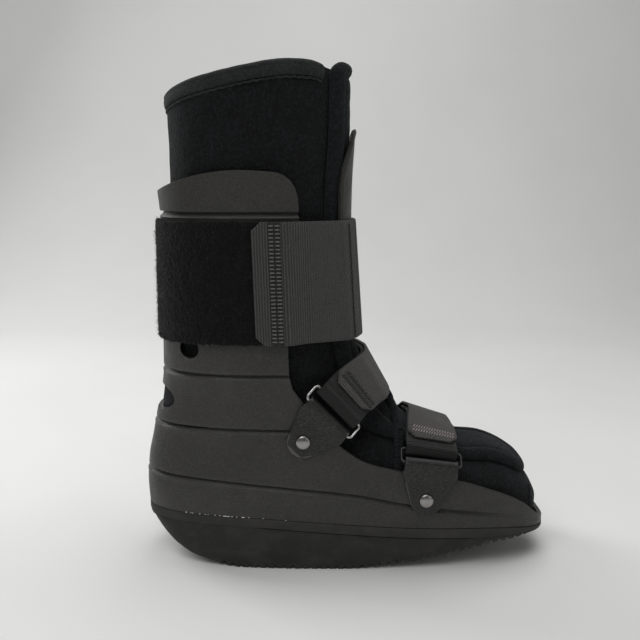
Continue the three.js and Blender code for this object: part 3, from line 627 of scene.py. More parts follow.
# The ring of the liner's top edge at each angle round it
def top_ring(angle):
    def above(t):
        p = liner_point(t, angle)
        return p[:, 2] - liner_top_z(p[:, 0])

    return solve_ring(above, 0 * angle + 3.0)


# The ring at which the front reaches a height
def front_ring(z, y, grow, last):
    return solve_ring(lambda t: front_point(t, y, grow)[:, 2] - z, 0 * y + last)


# Smooth random values at points
def noise(points, scale, seed):
    shift = Vector((seed * 7.3, seed * 3.1, seed * 1.7))
    values = [field.fractal(Vector(p) / scale + shift, 0.6, 2.0, 2) for p in points.reshape(-1, 3)]
    return np.array(values).reshape(points.shape[:-1])


# Soft unevenness as bumps of a scale, a seed and a height
def bumps(points, rows):
    return sum(noise(points, scale, seed) * height for scale, seed, height in rows)


LINER_BUMPS = [(26, 1, 0.7), (9, 2, 0.25)]
FLAP_BUMPS = [(24, 5, 0.5), (8, 6, 0.22)]
BINDING_BUMPS = [(12, 8, 0.25)]
FOLD_BUMPS = [(13, 3, 2.6)]
FOLD_HEIGHT = 138
VENT_BULGE = 3.2
TOE_ROUNDING = 3.6
TOE_OVERRUN = 0.45


# The liner, open down its front under the flap
def make_liner():
    count, rows = 132, 168
    angle = around(count)
    top = top_ring(angle)
    points = []
    for share in np.arange(rows) / (rows - 1):
        t = top + (LAST_RING + TOE_OVERRUN - top) * share
        end = ramp(t, LAST_RING - 0.2, LAST_RING + TOE_OVERRUN)
        t = np.minimum(t, LAST_RING)
        base = liner_point(t, angle)
        x, y, z = base.T
        # Soft unevenness, folds at the ankle, and the face kept inside the shell
        soft = bumps(base, LINER_BUMPS)
        folds = bumps(base * (1, 0.35, 1), FOLD_BUMPS) * ramp(-np.abs(z - FOLD_HEIGHT), -34, -8)
        hidden = ramp(wing_front_x(z) - x, 1, 9) * ramp(wing_top_z(x) - z, 1, 9)
        soft = soft * (1 - hidden) - hidden
        # The bulge that shows in the back vent
        vent = np.hypot((z - 121) / 13, y / 42)
        soft = soft + VENT_BULGE * (1 - ramp(vent, 0.5, 1.0)) * (x < -60)
        points.append(liner_point(t, angle, soft + folds * ramp(x, -12, 10) - TOE_ROUNDING * end))
    points = np.array(points)
    x, y, z = points.reshape(-1, 3).T
    faces = []
    for face in map(list, grid_faces(rows, count, True)):
        along = x[face].mean()
        in_slit = abs(y[face].mean()) < SLIT / 2 and z[face].mean() > 60 and -10 < along < 100
        if not in_slit:
            faces.append(face)
    faces.append(range((rows - 1) * count, rows * count))
    liner = mesh_object("padded_liner", points, faces)
    with mesh_edit(liner) as bm:
        loose = [v for v in bm.verts if not v.link_faces]
        bmesh.ops.delete(bm, geom=loose, context="VERTS")
        bmesh.ops.recalc_face_normals(bm, faces=bm.faces)
    thicken(liner, LINER_WALL, LINER_EDGE)
    return liner, points


# The front flap, drawn flat: its length runs from the top down the shin and the foot to the toes
FLAP_TAPER = Table("x half", [(-0.1, 33), (0.62, 33), (0.78, 30.4), (0.88, 27), (0.9405, 24)])
FLAP_ENDS = np.array([0, 0.15, 0.5, 1.1, 2, 3, 4.2, 5.6, 7.2, 9])
FLAP_EDGE = 1 - np.array([0, 0.004, 0.015, 0.035, 0.065, 0.1, 0.14, 0.18, 0.22, 0.26, 0.3, 0.36, 0.45])
FLAP_TOP_CORNER = 9.0
FLAP_TOE_CORNER = 14.0


def corner(radius, off):
    return radius - np.sqrt(np.maximum(radius**2 - (radius - np.clip(off, 0, radius)) ** 2, 0))


class FlapLine:
    def __init__(self):
        t = np.linspace(0, 19.5, 1500)
        p = front_point(t, 0 * t, GAP + FLAP_ROLL)
        keep = (p[:, 2] < FLAP_TOP) & (p[:, 0] < along_sole(0.948))
        self.t, p = t[keep], p[keep]
        self.s = running_sum(np.hypot(np.diff(p[:, 0]), np.diff(p[:, 2])))
        self.x = p[:, 0]
        self.length = self.s[-1]

    def ring(self, s):
        return np.interp(s, self.s, self.t)

    def half(self, s):
        wide = FLAP_TAPER(share_of(np.interp(s, self.s, self.x)))["half"]
        return wide - corner(FLAP_TOP_CORNER, s) - corner(FLAP_TOE_CORNER, self.length - s)


def hump(at, place, width, height):
    return height * np.exp(-((at - place) / width) ** 2)


# How far each place of the flat flap is from its border
def border_distance(line, stations, across, s, y):
    half = line.half(stations)
    border = np.concatenate([
        np.stack([stations, half], axis=1),
        np.stack([stations, -half], axis=1),
        np.stack([0 * across, across * half[0]], axis=1),
        np.stack([0 * across + line.length, across * half[-1]], axis=1),
    ])
    border = np.concatenate([border[:-1] * (1 - k) + border[1:] * k for k in (0, 0.33, 0.66)])
    along, side = border.T
    on_border = np.abs(np.abs(side) - line.half(along)) < 0.6
    on_border |= (along < 0.01) | (along > line.length - 0.01)
    along, side = border[on_border].T
    away = [np.min(np.hypot(along - a, side - b)) for a, b in zip(s.ravel(), y.ravel())]
    return np.array(away).reshape(s.shape)


def make_flap():
    line = FlapLine()
    middle = np.arange(11, line.length - 10, 2.2)
    stations = np.concatenate([FLAP_ENDS, middle, (line.length - FLAP_ENDS)[::-1]])
    across = np.concatenate([-FLAP_EDGE, np.linspace(-0.46, 0.46, 19), FLAP_EDGE[::-1]])
    s, w = np.meshgrid(stations, across, indexing="ij")
    y = w * line.half(stations)[:, None]
    away = border_distance(line, stations, across, s, y)
    away[(np.abs(w) > 0.9999) | (s < 1e-6) | (s > line.length - 1e-6)] = 0
    # A padded roll along the border, a sewn crease inside it, then the flat pad
    in_roll = np.clip(away, 0, 2 * FLAP_ROLL)
    roll = np.sqrt(np.maximum(FLAP_ROLL**2 - (FLAP_ROLL - in_roll) ** 2, 0))
    pad = FLAP_THICKNESS - FLAP_ROLL - 0.2 - hump(away, *FLAP_DIP)
    blend = ramp(away, 6.0, 9.5)
    in_edge = away < FLAP_ROLL
    upper = np.where(in_edge, FLAP_ROLL + roll, FLAP_ROLL + roll * (1 - blend) + pad * blend)
    lower = np.where(in_edge, FLAP_ROLL - roll, 0)
    t = line.ring(s)
    base = front_point(t, y, GAP + FLAP_ROLL)
    soft = bumps(base, FLAP_BUMPS)
    outer = front_point(t, y, GAP + upper + soft * ramp(away, 2, 9))
    inner = front_point(t, y, GAP + lower)
    rows, cols = s.shape
    faces = grid_faces(rows, cols)
    faces += [tuple(reversed(f)) for f in grid_faces(rows, cols, start=rows * cols)]
    return solid("front_flap", np.concatenate([outer, inner]), faces, 0.05), outer


# Humps as place, width and height: the plate's bead and the flap's crease, from their borders, and
# the folds of the foot straps' loop tape, from the ring's bar
PLATE_BEAD = (1.6, 1.1, 0.9)
FLAP_DIP = (9.4, 1.5, 1.3)
STRAP_FOLDS = [(4.5, 1.8, 0.9), (9.5, 1.6, 0.6)]


# The front plate over the flap, arched at its top
def make_plate():
    bottom = float(level(PLATE_BOTTOM, LINER_RISE))
    arch_foot = float(level(PLATE_TOP, LINER_RISE)) - PLATE_ARCH
    cols, rows = 61, 60
    y = PLATE_HALF * np.sin(np.linspace(-1, 1, cols) * math.pi / 2 * 0.985)
    y = y / np.abs(y).max() * PLATE_HALF
    z_top = arch_foot + PLATE_ARCH * np.sqrt(np.maximum(1 - (y / (PLATE_WIDTH / 2)) ** 2, 0))
    to_arch = np.maximum(0.35, np.sqrt(1 - (y / 36) ** 2))
    points = []
    for share in 1 - (1 - np.arange(rows) / (rows - 1)) ** 1.35:
        z = bottom + (z_top - bottom) * share
        # A low bead runs along the edge
        away = np.minimum((z_top - z) * to_arch, PLATE_HALF - np.abs(y))
        grow = PLATE_FACE + hump(away, *PLATE_BEAD)
        points.append(front_point(front_ring(z, y, grow, 6.5), y, grow))
    plate = mesh_object("front_plate", points, grid_faces(rows, cols))
    with mesh_edit(plate) as bm:
        bmesh.ops.recalc_face_normals(bm, faces=bm.faces)
        if sum(f.normal.x for f in bm.faces) < 0:
            bmesh.ops.reverse_faces(bm, faces=bm.faces)
    thicken(plate, PLATE_WALL, PLATE_EDGE)
    return plate


# The binding over the liner's top edge: height from the edge, and distance out of the liner's face
BINDING = [
    (-9.2, -0.3), (-9.0, 0.7), (-8.2, 1.35), (-7.0, 1.75), (-5.0, 2.0), (-3.4, 2.0), (-2.6, 1.6),
    (-1.8, 2.0), (-0.5, 1.7), (0.7, 0.7), (1.35, -1.0), (1.55, -3.0), (1.55, -5.2), (1.3, -7.2),
    (0.6, -8.9), (-0.6, -9.7), (-2.6, -10), (-6, -9.8), (-8.6, -9.4), (-9.2, -8.2), (-7.0, -7.0),
    (-4.0, -6.0), (-4.0, -2.2), (-7.0, -1.0),
]


def make_binding():
    probe = np.linspace(0, math.pi, 900)[450:][::-1]
    side = liner_point(1.0, probe)[:, 1]
    last = np.interp(FLAP_WIDTH / 2 + 0.6, side, probe)
    angle = np.linspace(-last, last, 150)
    top = top_ring(angle)
    edge = liner_point(top, angle)
    soft = bumps(edge, BINDING_BUMPS)
    loops = []
    for up, out in BINDING:
        loop = liner_point(top, angle, out)
        loop[:, 2] = edge[:, 2] + up + soft * (up > -3)
        loops.append(loop)
    points = np.array(loops).transpose(1, 0, 2)
    binding = solid("top_binding", points, tube_faces(*points.shape[:2]))
    apply_modifier(binding, "SUBSURF", levels=1, render_levels=1)
    return binding


# Straps. A taut line round points: for each angle the farthest points and the normal
def taut_line(points, angles, other=None):
    normal = np.stack([np.cos(angles), np.sin(angles)], axis=1)
    near = points[np.argmax(points @ normal.T, axis=0)]
    far = near if other is None else other[np.argmax(other @ normal.T, axis=0)]
    return near, far, normal


def radians_range(low, high, count):
    return np.radians(np.linspace(low, high, count + 1))


# An edge of a line at given lengths along it, each edge measured by itself
def read_edge(edge, normal, length, at):
    own = running_sum(np.hypot(*np.diff(edge, axis=0).T))
    turn = running_sum(np.abs(np.diff(np.unwrap(np.arctan2(normal[:, 1], normal[:, 0])))))
    own = own + turn * (length[-1] - length[0] - own[-1]) / turn[-1]
    own = own - own[np.argmin(np.abs(length))]
    order = np.concatenate([[True], np.diff(own) > 1e-6])
    return [
        np.stack([np.interp(at, own[order], values[order, k]) for k in (0, 1)], 1)
        for values in (edge, normal)
    ]


# A run of strap: a taut line, the lengths along it at a rise over it, counted from one of its
# stations, and the place in space of what is drawn flat. Its lift is the height of its under side
class Run:
    def __init__(self, line, rise, start, width, place):
        self.line = line
        self.width = width
        self.place = place
        near, far, normal = line
        middle = (near + far) / 2 + normal * rise
        length = running_sum(np.hypot(*np.diff(middle, axis=0).T))
        self.length = length - length[start]

    def edges(self, at):
        near, far, normal = self.line
        return read_edge(near, normal, self.length, at) + read_edge(far, normal, self.length, at)

    def point(self, edges, share, off, side):
        a, normal_a, b, normal_b = edges
        out = unit(normal_a * (1 - share) + normal_b * share)
        return self.place(a * (1 - share) + b * share + out * off[:, None], side)

    # Points at lengths along the strap, distances across it and heights above its under side
    def on(self, at, side, rise):
        at, side = np.broadcast_arrays(np.asarray(at, float), np.asarray(side, float))
        share = (side / self.width + 0.5)[:, None]
        return self.point(self.edges(at), share, self.lift(at) + rise, side)

    # A tape with a rounded flat section, its length and width kept as a UV map
    def tape(self, name, start, end, lift, thickness, chamfer=0, step=1.5, cell=2.4):
        at = np.linspace(start, end, int((end - start) / step) + 1)
        at = np.unique(np.concatenate([at, [start + 0.25, start + 0.8, end - 0.25, end - 0.8]]))
        edges = self.edges(at)
        half = self.width / 2 * np.ones(len(at))
        half -= np.clip(chamfer - (at - start), 0, chamfer) * 0.95
        rim = np.clip(np.minimum(at - start, end - at) / (thickness / 2), 0, 1)
        thin = np.sqrt(np.clip(1 - (1 - rim) ** 2, 0.02, 1))
        columns = max(6, int(self.width / cell))
        r = thickness / 2
        top = [(-1, 0.5, 0), (-1, 0.82, 0.12 * r), (-1, 0.97, 0.45 * r)]
        top += [(v, 1.0, 0) for v in np.linspace(-1, 1, columns + 1)[1:-1]]
        top += [(1, 0.97, 0.45 * r), (1, 0.82, 0.12 * r), (1, 0.5, 0)]
        bottom = [(s, 1 - t, i) for s, t, i in reversed(top[1:-1])]
        points, uvs = [], []
        for side, rise, inset in top + bottom:
            out = side * half - np.sign(side) * inset
            off = lift(at) + thickness * (0.5 + (rise - 0.5) * thin)
            points.append(self.point(edges, (side + 1) / 2, off, out))
            uvs.append(np.stack([at, out], 1))
        points = np.array(points).transpose(1, 0, 2)
        uvs = np.array(uvs).transpose(1, 0, 2).reshape(-1, 2)
        piece = mesh_object(name, points, tube_faces(*points.shape[:2]))
        with mesh_edit(piece) as bm:
            bmesh.ops.recalc_face_normals(bm, faces=bm.faces)
            layer = bm.loops.layers.uv.new("strap")
            for loop in (loop for f in bm.faces for loop in f.loops):
                loop[layer].uv = uvs[loop.vert.index] * MM
        return piece


CALF_Z = float(level(CALF_LEVEL, WING_RISE))
# Stations of the taut lines: once round the calf, and round a ring's bar to a tucked end
CALF_STEPS = 360
TUCK_STEPS = 30


# The outline that the calf strap goes round at a height: the shell's wings and the plate
def shaft_section(z):
    x, y = outline_point(shell_outline(z), np.linspace(0, 2 * math.pi, 720))
    shell = np.stack([x, y], 1)[x <= wing_front_x(z)]
    wide = np.linspace(-PLATE_HALF, PLATE_HALF, 120)
    front = front_point(front_ring(z, wide, PLATE_FACE, 6.8), wide, PLATE_FACE + 0.1)[:, :2]
    return np.concatenate([shell, front])


def make_calf_straps():
    edges = []
    for sign in (-1, 1):
        heights = CALF_Z + sign * CALF_WIDTH / 2 - sign * np.linspace(0, 20, 5)
        edges.append(np.concatenate([shaft_section(np.float64(z)) for z in heights]))
    turn = taut_line(edges[0], radians_range(180, 540, CALF_STEPS), edges[1])
    twice = tuple(np.concatenate([part, part[1:]]) for part in turn)
    over = GAP + LOOP_THICKNESS + GAP

    def place(flat, side):
        return np.stack([flat[:, 0], flat[:, 1], CALF_Z + side], 1)

    def under(at):
        return GAP + 0 * at

    def lift(at):
        off = np.minimum(at, np.abs(length - at)) - CALF_REACH - GAP
        return over + (GAP - over) * ramp(off, 0, CALF_LAP)

    back = Run(twice, over, CALF_STEPS, CALF_WIDTH, place)
    run = Run(twice, over, 0, CALF_WIDTH, place)
    run.lift = lift
    length = run.length[CALF_STEPS]
    loop = back.tape("calf_loop", -CALF_REACH, CALF_REACH, under, LOOP_THICKNESS, step=1.2, cell=1.3)
    webbing = run.tape("calf_webbing", CALF_REACH - CALF_START, CALF_SEAM - 0.2, lift,
                       WEBBING_THICKNESS, STRAP_CHAMFER)
    front = run.tape("calf_front", CALF_SEAM + 0.2, length - CALF_REACH + CALF_LAP, lift, LOOP_THICKNESS)
    return loop, webbing, front, run


FOOT_STRAPS = {
    "ankle": {"x": 0.391, "up": 0.689, "tab": 24, "ring_slope": 45, "lean": 20, "slope": 61},
    "forefoot": {"x": 0.68, "up": 0.388, "tab": 26, "ring_slope": 7, "lean": 55, "slope": 25},
}
SIDE = np.array([0.0, 1.0, 0.0])


# Directions in the side view, by the slope of a strap: up it and across it
def up_at(slope):
    slope = np.asarray(slope, float)
    return np.stack([np.sin(slope), 0 * slope, np.cos(slope)], -1)


def across_at(slope):
    slope = np.asarray(slope, float)
    return np.stack([np.cos(slope), 0 * slope, -np.sin(slope)], -1)


# Where a foot strap's rivet, tab and ring are, on the near side
def hardware(strap):
    slope, lean = math.radians(strap["ring_slope"]), math.radians(strap["lean"])
    x, z = along_sole(strap["x"]), float(level(strap["up"], WING_RISE))
    foot = [(dx, dz) for dz in (-TAB_FOOT, TAB_FOOT) for dx in (-TAB_FOOT, 0, TAB_FOOT)] + [(0, 0)]
    face = max(float(shell_half_width(x + dx, z + dz)) for dx, dz in foot) + GAP
    low = np.array([x, -(face + TAB_THICKNESS / 2), z]) + up_at(slope) * strap["tab"]
    leaning = up_at(slope) * math.cos(lean) + SIDE * math.sin(lean)
    return {"slope": slope, "rivet": (x, z), "face": face, "low": low, "leaning": leaning,
            "high": low + leaning * RING_DEPTH}


def make_foot_strap(name, strap, surface):
    places = hardware(strap)
    own, slope = math.radians(strap["slope"]), places["slope"]
    centre = places["high"] * (1, 0, 1)
    bar = -places["high"][1]

    def turn_at(flat):
        away = np.hypot(bar - np.abs(flat[:, 0]), flat[:, 1])
        return slope + (own - slope) * np.minimum(1, away / STRAP_TURN)

    under = []
    for turn in slope + (own - slope) * np.linspace(0, 1, 9):
        d = surface - centre
        flat = np.stack([d[:, 1], d @ up_at(turn)], 1)
        keep = (np.abs(d @ across_at(turn)) < FOOT_STRAP_WIDTH / 2) & (flat[:, 1] > 0)
        keep &= np.abs(turn_at(flat) - turn) < 0.08 * abs(own - slope) + 0.004
        under.append(flat[keep])
    circle = radians_range(0, 360, 48)
    rod = np.stack([np.cos(circle), np.sin(circle)], 1) * WIRE / 2
    rods = [rod + (side * bar, 0) for side in (-1, 1)]
    pieces = [
        taut_line(rods[0], radians_range(180 + STRAP_TUCK, 181, TUCK_STEPS)),
        taut_line(np.concatenate(under + rods), radians_range(180, 0, 240)),
        taut_line(rods[1], radians_range(-1, -STRAP_TUCK, TUCK_STEPS)),
    ]
    line = tuple(np.concatenate(parts) for parts in zip(*pieces))
    over_loop = STRAP_EASE + LOOP_THICKNESS + STRAP_EASE

    def place(flat, side):
        turn = turn_at(flat)
        return centre + SIDE * flat[:, :1] + up_at(turn) * flat[:, 1:] + across_at(turn) * side[:, None]

    def lift(at):
        end = loop_end + GAP
        return over_loop - 0.4 + (STRAP_EASE - over_loop + 0.4) * ramp(at, end, end + WEBBING_SETBACK)

    def folded(at):
        return STRAP_EASE - 0.3 + sum(hump(at, *fold) for fold in STRAP_FOLDS)

    run = Run(line, over_loop, TUCK_STEPS + 1, FOOT_STRAP_WIDTH, place)
    run.lift = lift
    first, last = run.length[0], run.length[-1]
    loop_end = run.length[-TUCK_STEPS - 2] - 3 * WEBBING_SETBACK
    loop = run.tape(name + "_loop", first, loop_end, folded, LOOP_THICKNESS, step=1.0)
    webbing = run.tape(name + "_webbing", WEBBING_SETBACK, last, lift, WEBBING_THICKNESS,
                       STRAP_CHAMFER, step=1.0)
    return loop, webbing, run


# A wire ring: a rectangle with round corners
def make_ring(name, places, mirror):
    half_x, half_y = RING_WIDTH / 2 - RING_CORNER, RING_DEPTH / 2 - RING_CORNER
    across, leaning = across_at(places["slope"]), places["leaning"]
    thick = np.cross(leaning, across)
    centre = places["low"] + leaning * RING_DEPTH / 2
    loops = []
    for sx, sy, start in ((1, -1, -90), (1, 1, 0), (-1, 1, 90), (-1, -1, 180)):
        for a in radians_range(start, start + 90, 8):
            outward = across * math.cos(a) + leaning * math.sin(a)
            middle = centre + across * (sx * half_x) + leaning * (sy * half_y) + outward * RING_CORNER
            loops.append([middle + (outward * math.cos(b) + thick * math.sin(b)) * RING_WIRE / 2
                          for b in around(14)])
    loops = np.array(loops)
    # The straight bars get steps of their own, and the last loop closes on the first
    points = []
    for a, b in zip(loops, np.roll(loops, -1, axis=0)):
        steps = 12 if np.linalg.norm(a[0] - b[0]) > 6 else 1
        points += [a + (b - a) * k / steps for k in range(steps)]
    points = np.array(points + points[:1]) * (1, mirror, 1)
    return solid(name, points, grid_faces(*points.shape[:2], wrap=True))


# Shares of a tab's length: its shoulder, and the stretch in which it rises off the shell
TAB_SHOULDER = 0.72
TAB_RISE = (0.45, 0.95)


# Half the width of a tab at a height over its rivet: a round foot, then straight to its shoulder
def tab_half_width(z, long):
    top = RING_WIDTH / 2 - RING_CORNER - GAP
    shoulder = long * TAB_SHOULDER
    if z >= shoulder:
        return top + (long - min(z, long)) / (long - shoulder)
    lead = math.atan2(shoulder, top + 1)
    touch = lead - math.acos(TAB_FOOT / math.hypot(top + 1, shoulder))
    foot_x, foot_z = TAB_FOOT * math.cos(touch), TAB_FOOT * math.sin(touch)
    if z < foot_z:
        return math.sqrt(max(TAB_FOOT**2 - z * z, 0.01))
    return foot_x + (top + 1 - foot_x) * (z - foot_z) / (shoulder - foot_z)


# A tab: a shield of sheet that narrows to its rivet, its top rolled round the ring's lower bar
def make_tab(name, strap, places, mirror):
    long = strap["tab"]
    bar = WIRE / 2 + GAP + TAB_THICKNESS / 2
    low, high = (share * long for share in TAB_RISE)
    profile = []
    for z in np.linspace(-TAB_FOOT + 0.02, long, 36):
        rise = (bar - TAB_THICKNESS / 2) * ramp(z, low, high)
        profile.append((z, TAB_THICKNESS / 2 + rise))
    for a in radians_range(0, TAB_ROLL, 26)[1:]:
        profile.append((long + bar * math.sin(a), bar * math.cos(a)))
    base = np.array([places["rivet"][0], -places["face"], places["rivet"][1]])
    up, across = up_at(places["slope"]), across_at(places["slope"])
    columns = np.linspace(-1, 1, 31)
    points = []
    for z, out in profile:
        half = tab_half_width(z, long)
        points += [(base + up * z - SIDE * out + across * half * c) * (1, mirror, 1) for c in columns]
    tab = mesh_object(name, points, grid_faces(len(profile), len(columns)))
    turn_outward(tab)
    apply_modifier(tab, "SOLIDIFY", thickness=(TAB_THICKNESS - 0.2) * MM, offset=0)
    apply_modifier(tab, "BEVEL", width=TAB_EDGE * MM, segments=3, limit_method="ANGLE",
                   angle_limit=math.radians(TAB_SHARP))
    return tab


# A rivet through the shell with a low dome outside
def make_rivet(name, places, mirror):
    x, z = places["rivet"]
    seat = places["face"] + TAB_THICKNESS + 0.1
    inner = float(shell_half_width(x, z, -SHELL_WALL))
    profile = [(inner, 0.0), (inner, 2.0), (seat, 2.0), (seat, 4.7), (seat + 0.1, 4.95),
               (seat + DOME_SEAT, RIVET_RADIUS)]
    for a in radians_range(8, 90, 12):
        profile.append((seat + DOME_SEAT + DOME_HEIGHT * math.sin(a), RIVET_RADIUS * math.cos(a) * 0.985))
    return lathe(name, [(-y * mirror, r) for y, r in profile], 40, x, z, 0.01)


# The outsole's rings from the tread up: inset, further inset at the step in its side, and then
# lift, share, rest, drop and most, which make lift + share * height + rest * (height - drop), where
# the drop is at most so large a share of the height
SOLE_RINGS = [
    (5.0, 0, -0.5, 0, 0, 0, 0), (4.2, 0, 0.4, 0, 0, 0, 0), (3.2, 0, 0, 0.12, 0, 0, 0),
    (2.25, 0, 0, 0.3, 0, 0, 0), (1.75, 0, 0, 0.03, 0.9, 8.4, 0.62), (0.4, 1.3, 0, 0, 1, 8.2, 0.6),
    (0.6, 1.7, 0, 0, 1, 7.7, 0.57), (0.6, 1.7, 0, 0, 1, 7.15, 0.52), (0.25, 0, 0, 0, 1, 7.0, 0.5),
    (0, 0, 0, 0, 1, 6.2, 0.45), (0, 0, 0, 0, 1, 1.2, 0.1), (0.6, 0, 0, 0, 1, 0.35, 1),
]
# Section of a tread groove, and the ends along the boot between which grooves are cut
TREAD_GROOVE = [
    (-1.9, -8), (1.9, -8), (1.7, -0.4), (1.1, 1.7), (0.6, 2.2), (-0.6, 2.2), (-1.1, 1.7), (-1.7, -0.4),
]
TREAD_START = 0.15
TREAD_END = 0.985


# A body with one section at both of its ends across the boot
def bar_across(section, reach):
    points = [(x, y, z) for y in (-reach, reach) for x, z in section]
    return solid("cutter", points, tube_faces(2, len(section)))


# The outsole, with its tread cut by grooves and by the floor
def make_outsole():
    angle = around(240)
    start_x, _ = outline_point(shell_outline(np.float64(SOLE_HEIGHT)), angle)
    step = ramp(start_x, -42, -22) * (1 - ramp(start_x, 112, 122))
    points = []
    for inset, further, lift, share, rest, drop, most in SOLE_RINGS:
        outline = shell_outline(SOLE_HEIGHT + 0 * start_x, -(inset + further * step))
        x, y = outline_point(outline, angle)
        base = ground_z(x)
        height = joint_z(x) - base
        up = lift + share * height + rest * (height - np.minimum(drop, most * height))
        points.append(np.stack([x, y, base + up], 1))
    rows, cols = len(points), len(angle)
    faces = grid_faces(rows, cols, wrap=True)
    # The flat ends are closed by quads that join the two sides
    half = cols // 2
    for first in (0, (rows - 1) * cols):
        ids = [first + i for i in range(cols)]
        faces.append((ids[0], ids[1], ids[-1]))
        faces += [(ids[i], ids[i + 1], ids[-i - 1], ids[-i]) for i in range(1, half - 1)]
        faces.append((ids[half - 1], ids[half], ids[half + 1]))
    sole = mesh_object("outsole_tread", points, faces)
    turn_outward(sole)
    cutters = []
    first = math.ceil(along_sole(TREAD_START) / TREAD_PITCH)
    last = math.floor(along_sole(TREAD_END) / TREAD_PITCH)
    for x in (np.arange(first, last + 1) + 0.5) * TREAD_PITCH:
        slope = math.atan2(float(ground_z(x + 2) - ground_z(x - 2)), 4)
        c, s = math.cos(slope), math.sin(slope)
        z = float(ground_z(x))
        cutters.append(bar_across([(x + a * c - b * s, z + a * s + b * c) for a, b in TREAD_GROOVE], 70))
    cut(sole, join(cutters))
    cut(sole, bar_across([(-200, -20), (220, -20), (220, 0), (-200, 0)], 80))
    sole.data.set_sharp_from_angle(angle=math.radians(SOLE_SHARP))
    return sole


# Materials. Sizes in them are in millimetres too
def shade(color, factor):
    return tuple(c * factor for c in color)


class Shader:
    def __init__(self, name):
        self.material = bpy.data.materials.new(name)
        self.material.use_nodes = True
        self.tree = self.material.node_tree
        self.surface = self.tree.nodes["Principled BSDF"]
        self.place = self.node("ShaderNodeTexCoord").outputs["Object"]
        self.strap = self.node("ShaderNodeUVMap", uv_map="strap").outputs["UV"]

    def feed(self, socket, value):
        if isinstance(value, bpy.types.NodeSocket):
            self.tree.links.new(value, socket)
        else:
            socket.default_value = value

    def node(self, kind, settings=None, **values):
        made = self.tree.nodes.new(kind)
        for key, value in values.items():
            setattr(made, key, value)
        for key, value in (settings or {}).items():
            self.feed(made.inputs[key], value)
        return made

    def set(self, **values):
        for key, value in values.items():
            self.feed(self.surface.inputs[key.replace("_", " ")], value)

    def scaled(self, scale):
        return self.node("ShaderNodeMapping", {"Vector": self.place, "Scale": scale}).outputs[0]

    def noise(self, size, detail, source=None, roughness=0.55, distortion=0.0):
        made = self.node("ShaderNodeTexNoise", {
            "Vector": source or self.place, "Scale": 1 / (size * MM), "Detail": detail,
            "Roughness": roughness, "Distortion": distortion,
        })
        return made.outputs["Fac"]

    def cells(self, size, source=None):
        made = self.node("ShaderNodeTexVoronoi", {"Vector": source or self.place, "Scale": 1 / (size * MM)})
        return made.outputs["Distance"]

    def math(self, operation, a, b=0.0):
        return self.node("ShaderNodeMath", {0: a, 1: b}, operation=operation).outputs[0]

    def times(self, a, b):
        return self.math("MULTIPLY", a, b)

    def plus(self, a, b):
        return self.math("ADD", a, b)

    def remap(self, value, low, high, to_low=0.0, to_high=1.0):
        made = self.node("ShaderNodeMapRange", {
            "Value": value, "From Min": low, "From Max": high, "To Min": to_low, "To Max": to_high,
        })
        return made.outputs[0]

    def blend(self, share, first, second):
        made = self.node("ShaderNodeMix", data_type="RGBA")
        for key, value in (("Factor", share), ("A", first), ("B", second)):
            socket = next(s for s in made.inputs if s.name == key and s.enabled)
            self.feed(socket, (*value, 1) if isinstance(value, tuple) else value)
        return next(s for s in made.outputs if s.enabled)

    # A color over another where a value rises from one bound to the other
    def over(self, base, value, low, high, amount, color):
        return self.blend(self.times(self.remap(value, low, high), amount), base, color)

    def edges(self, high):
        return self.remap(self.node("ShaderNodeNewGeometry").outputs["Pointiness"], 0.52, high)

    # A band between two places along a strap, with soft ends
    def band(self, along, ends, soft):
        first, last = ends
        return self.times(self.remap(along, first * MM, (first + soft) * MM),
                          self.remap(along, last * MM, (last - soft) * MM))

    def relief(self, height, distance, strength=1.0, below=None):
        values = {"Height": height, "Distance": distance * MM, "Strength": strength}
        if below is not None:
            values["Normal"] = below
        return self.node("ShaderNodeBump", values).outputs[0]

    def spot(self, x, y, z, radius):
        near = self.node("ShaderNodeVectorMath", {0: self.place, 1: (x * MM, y * MM, z * MM)},
                         operation="DISTANCE")
        return self.remap(near.outputs["Value"], radius * MM, 0.0)


# Small pale scuffs on the shell: place and radius
SCUFFS = [(-58, -50, 58, 7), (-38, -51, 57, 8), (-77, -46, 125, 2.5), (116, -40, 50, 4), (60, 50, 60, 9)]


def plastic(name, color, light, roughness):
    s = Shader(name)
    grain = s.noise(0.95, 3, roughness=0.7)
    rub = s.noise(2.2, 4, s.scaled((0.35, 0.35, 2.6)), distortion=0.6)
    scuff = s.times(s.remap(rub, 0.62, 0.74), s.remap(s.noise(24, 2), 0.5, 0.66))
    base = s.blend(s.remap(s.noise(38, 3), 0.3, 0.7), color, shade(color, 1.28))
    base = s.over(base, grain, 0.46, 0.7, 0.5, light)
    # Lighter convex edges, partly wear and partly a painted highlight along the rims, joined with the pale
    # scuffs
    worn = s.math("MAXIMUM", s.times(s.edges(0.6), 0.4), s.times(scuff, 0.3))
    streaks = s.remap(s.noise(1.1, 2, s.scaled((0.4, 1.0, 2.0))), 0.56, 0.64)
    for scuffed in SCUFFS:
        worn = s.math("MAXIMUM", worn, s.times(s.spot(*scuffed), streaks))
    s.set(Base_Color=s.blend(worn, base, light), Specular_IOR_Level=0.42)
    s.set(Roughness=s.remap(s.noise(11, 3), 0.3, 0.7, roughness - 0.08, roughness + 0.1))
    soft = s.relief(s.noise(9, 2), 0.12, 0.5)
    s.set(Normal=s.relief(s.plus(grain, s.times(s.cells(1.5), 0.5)), 0.3, 1.0, soft))
    return s.material


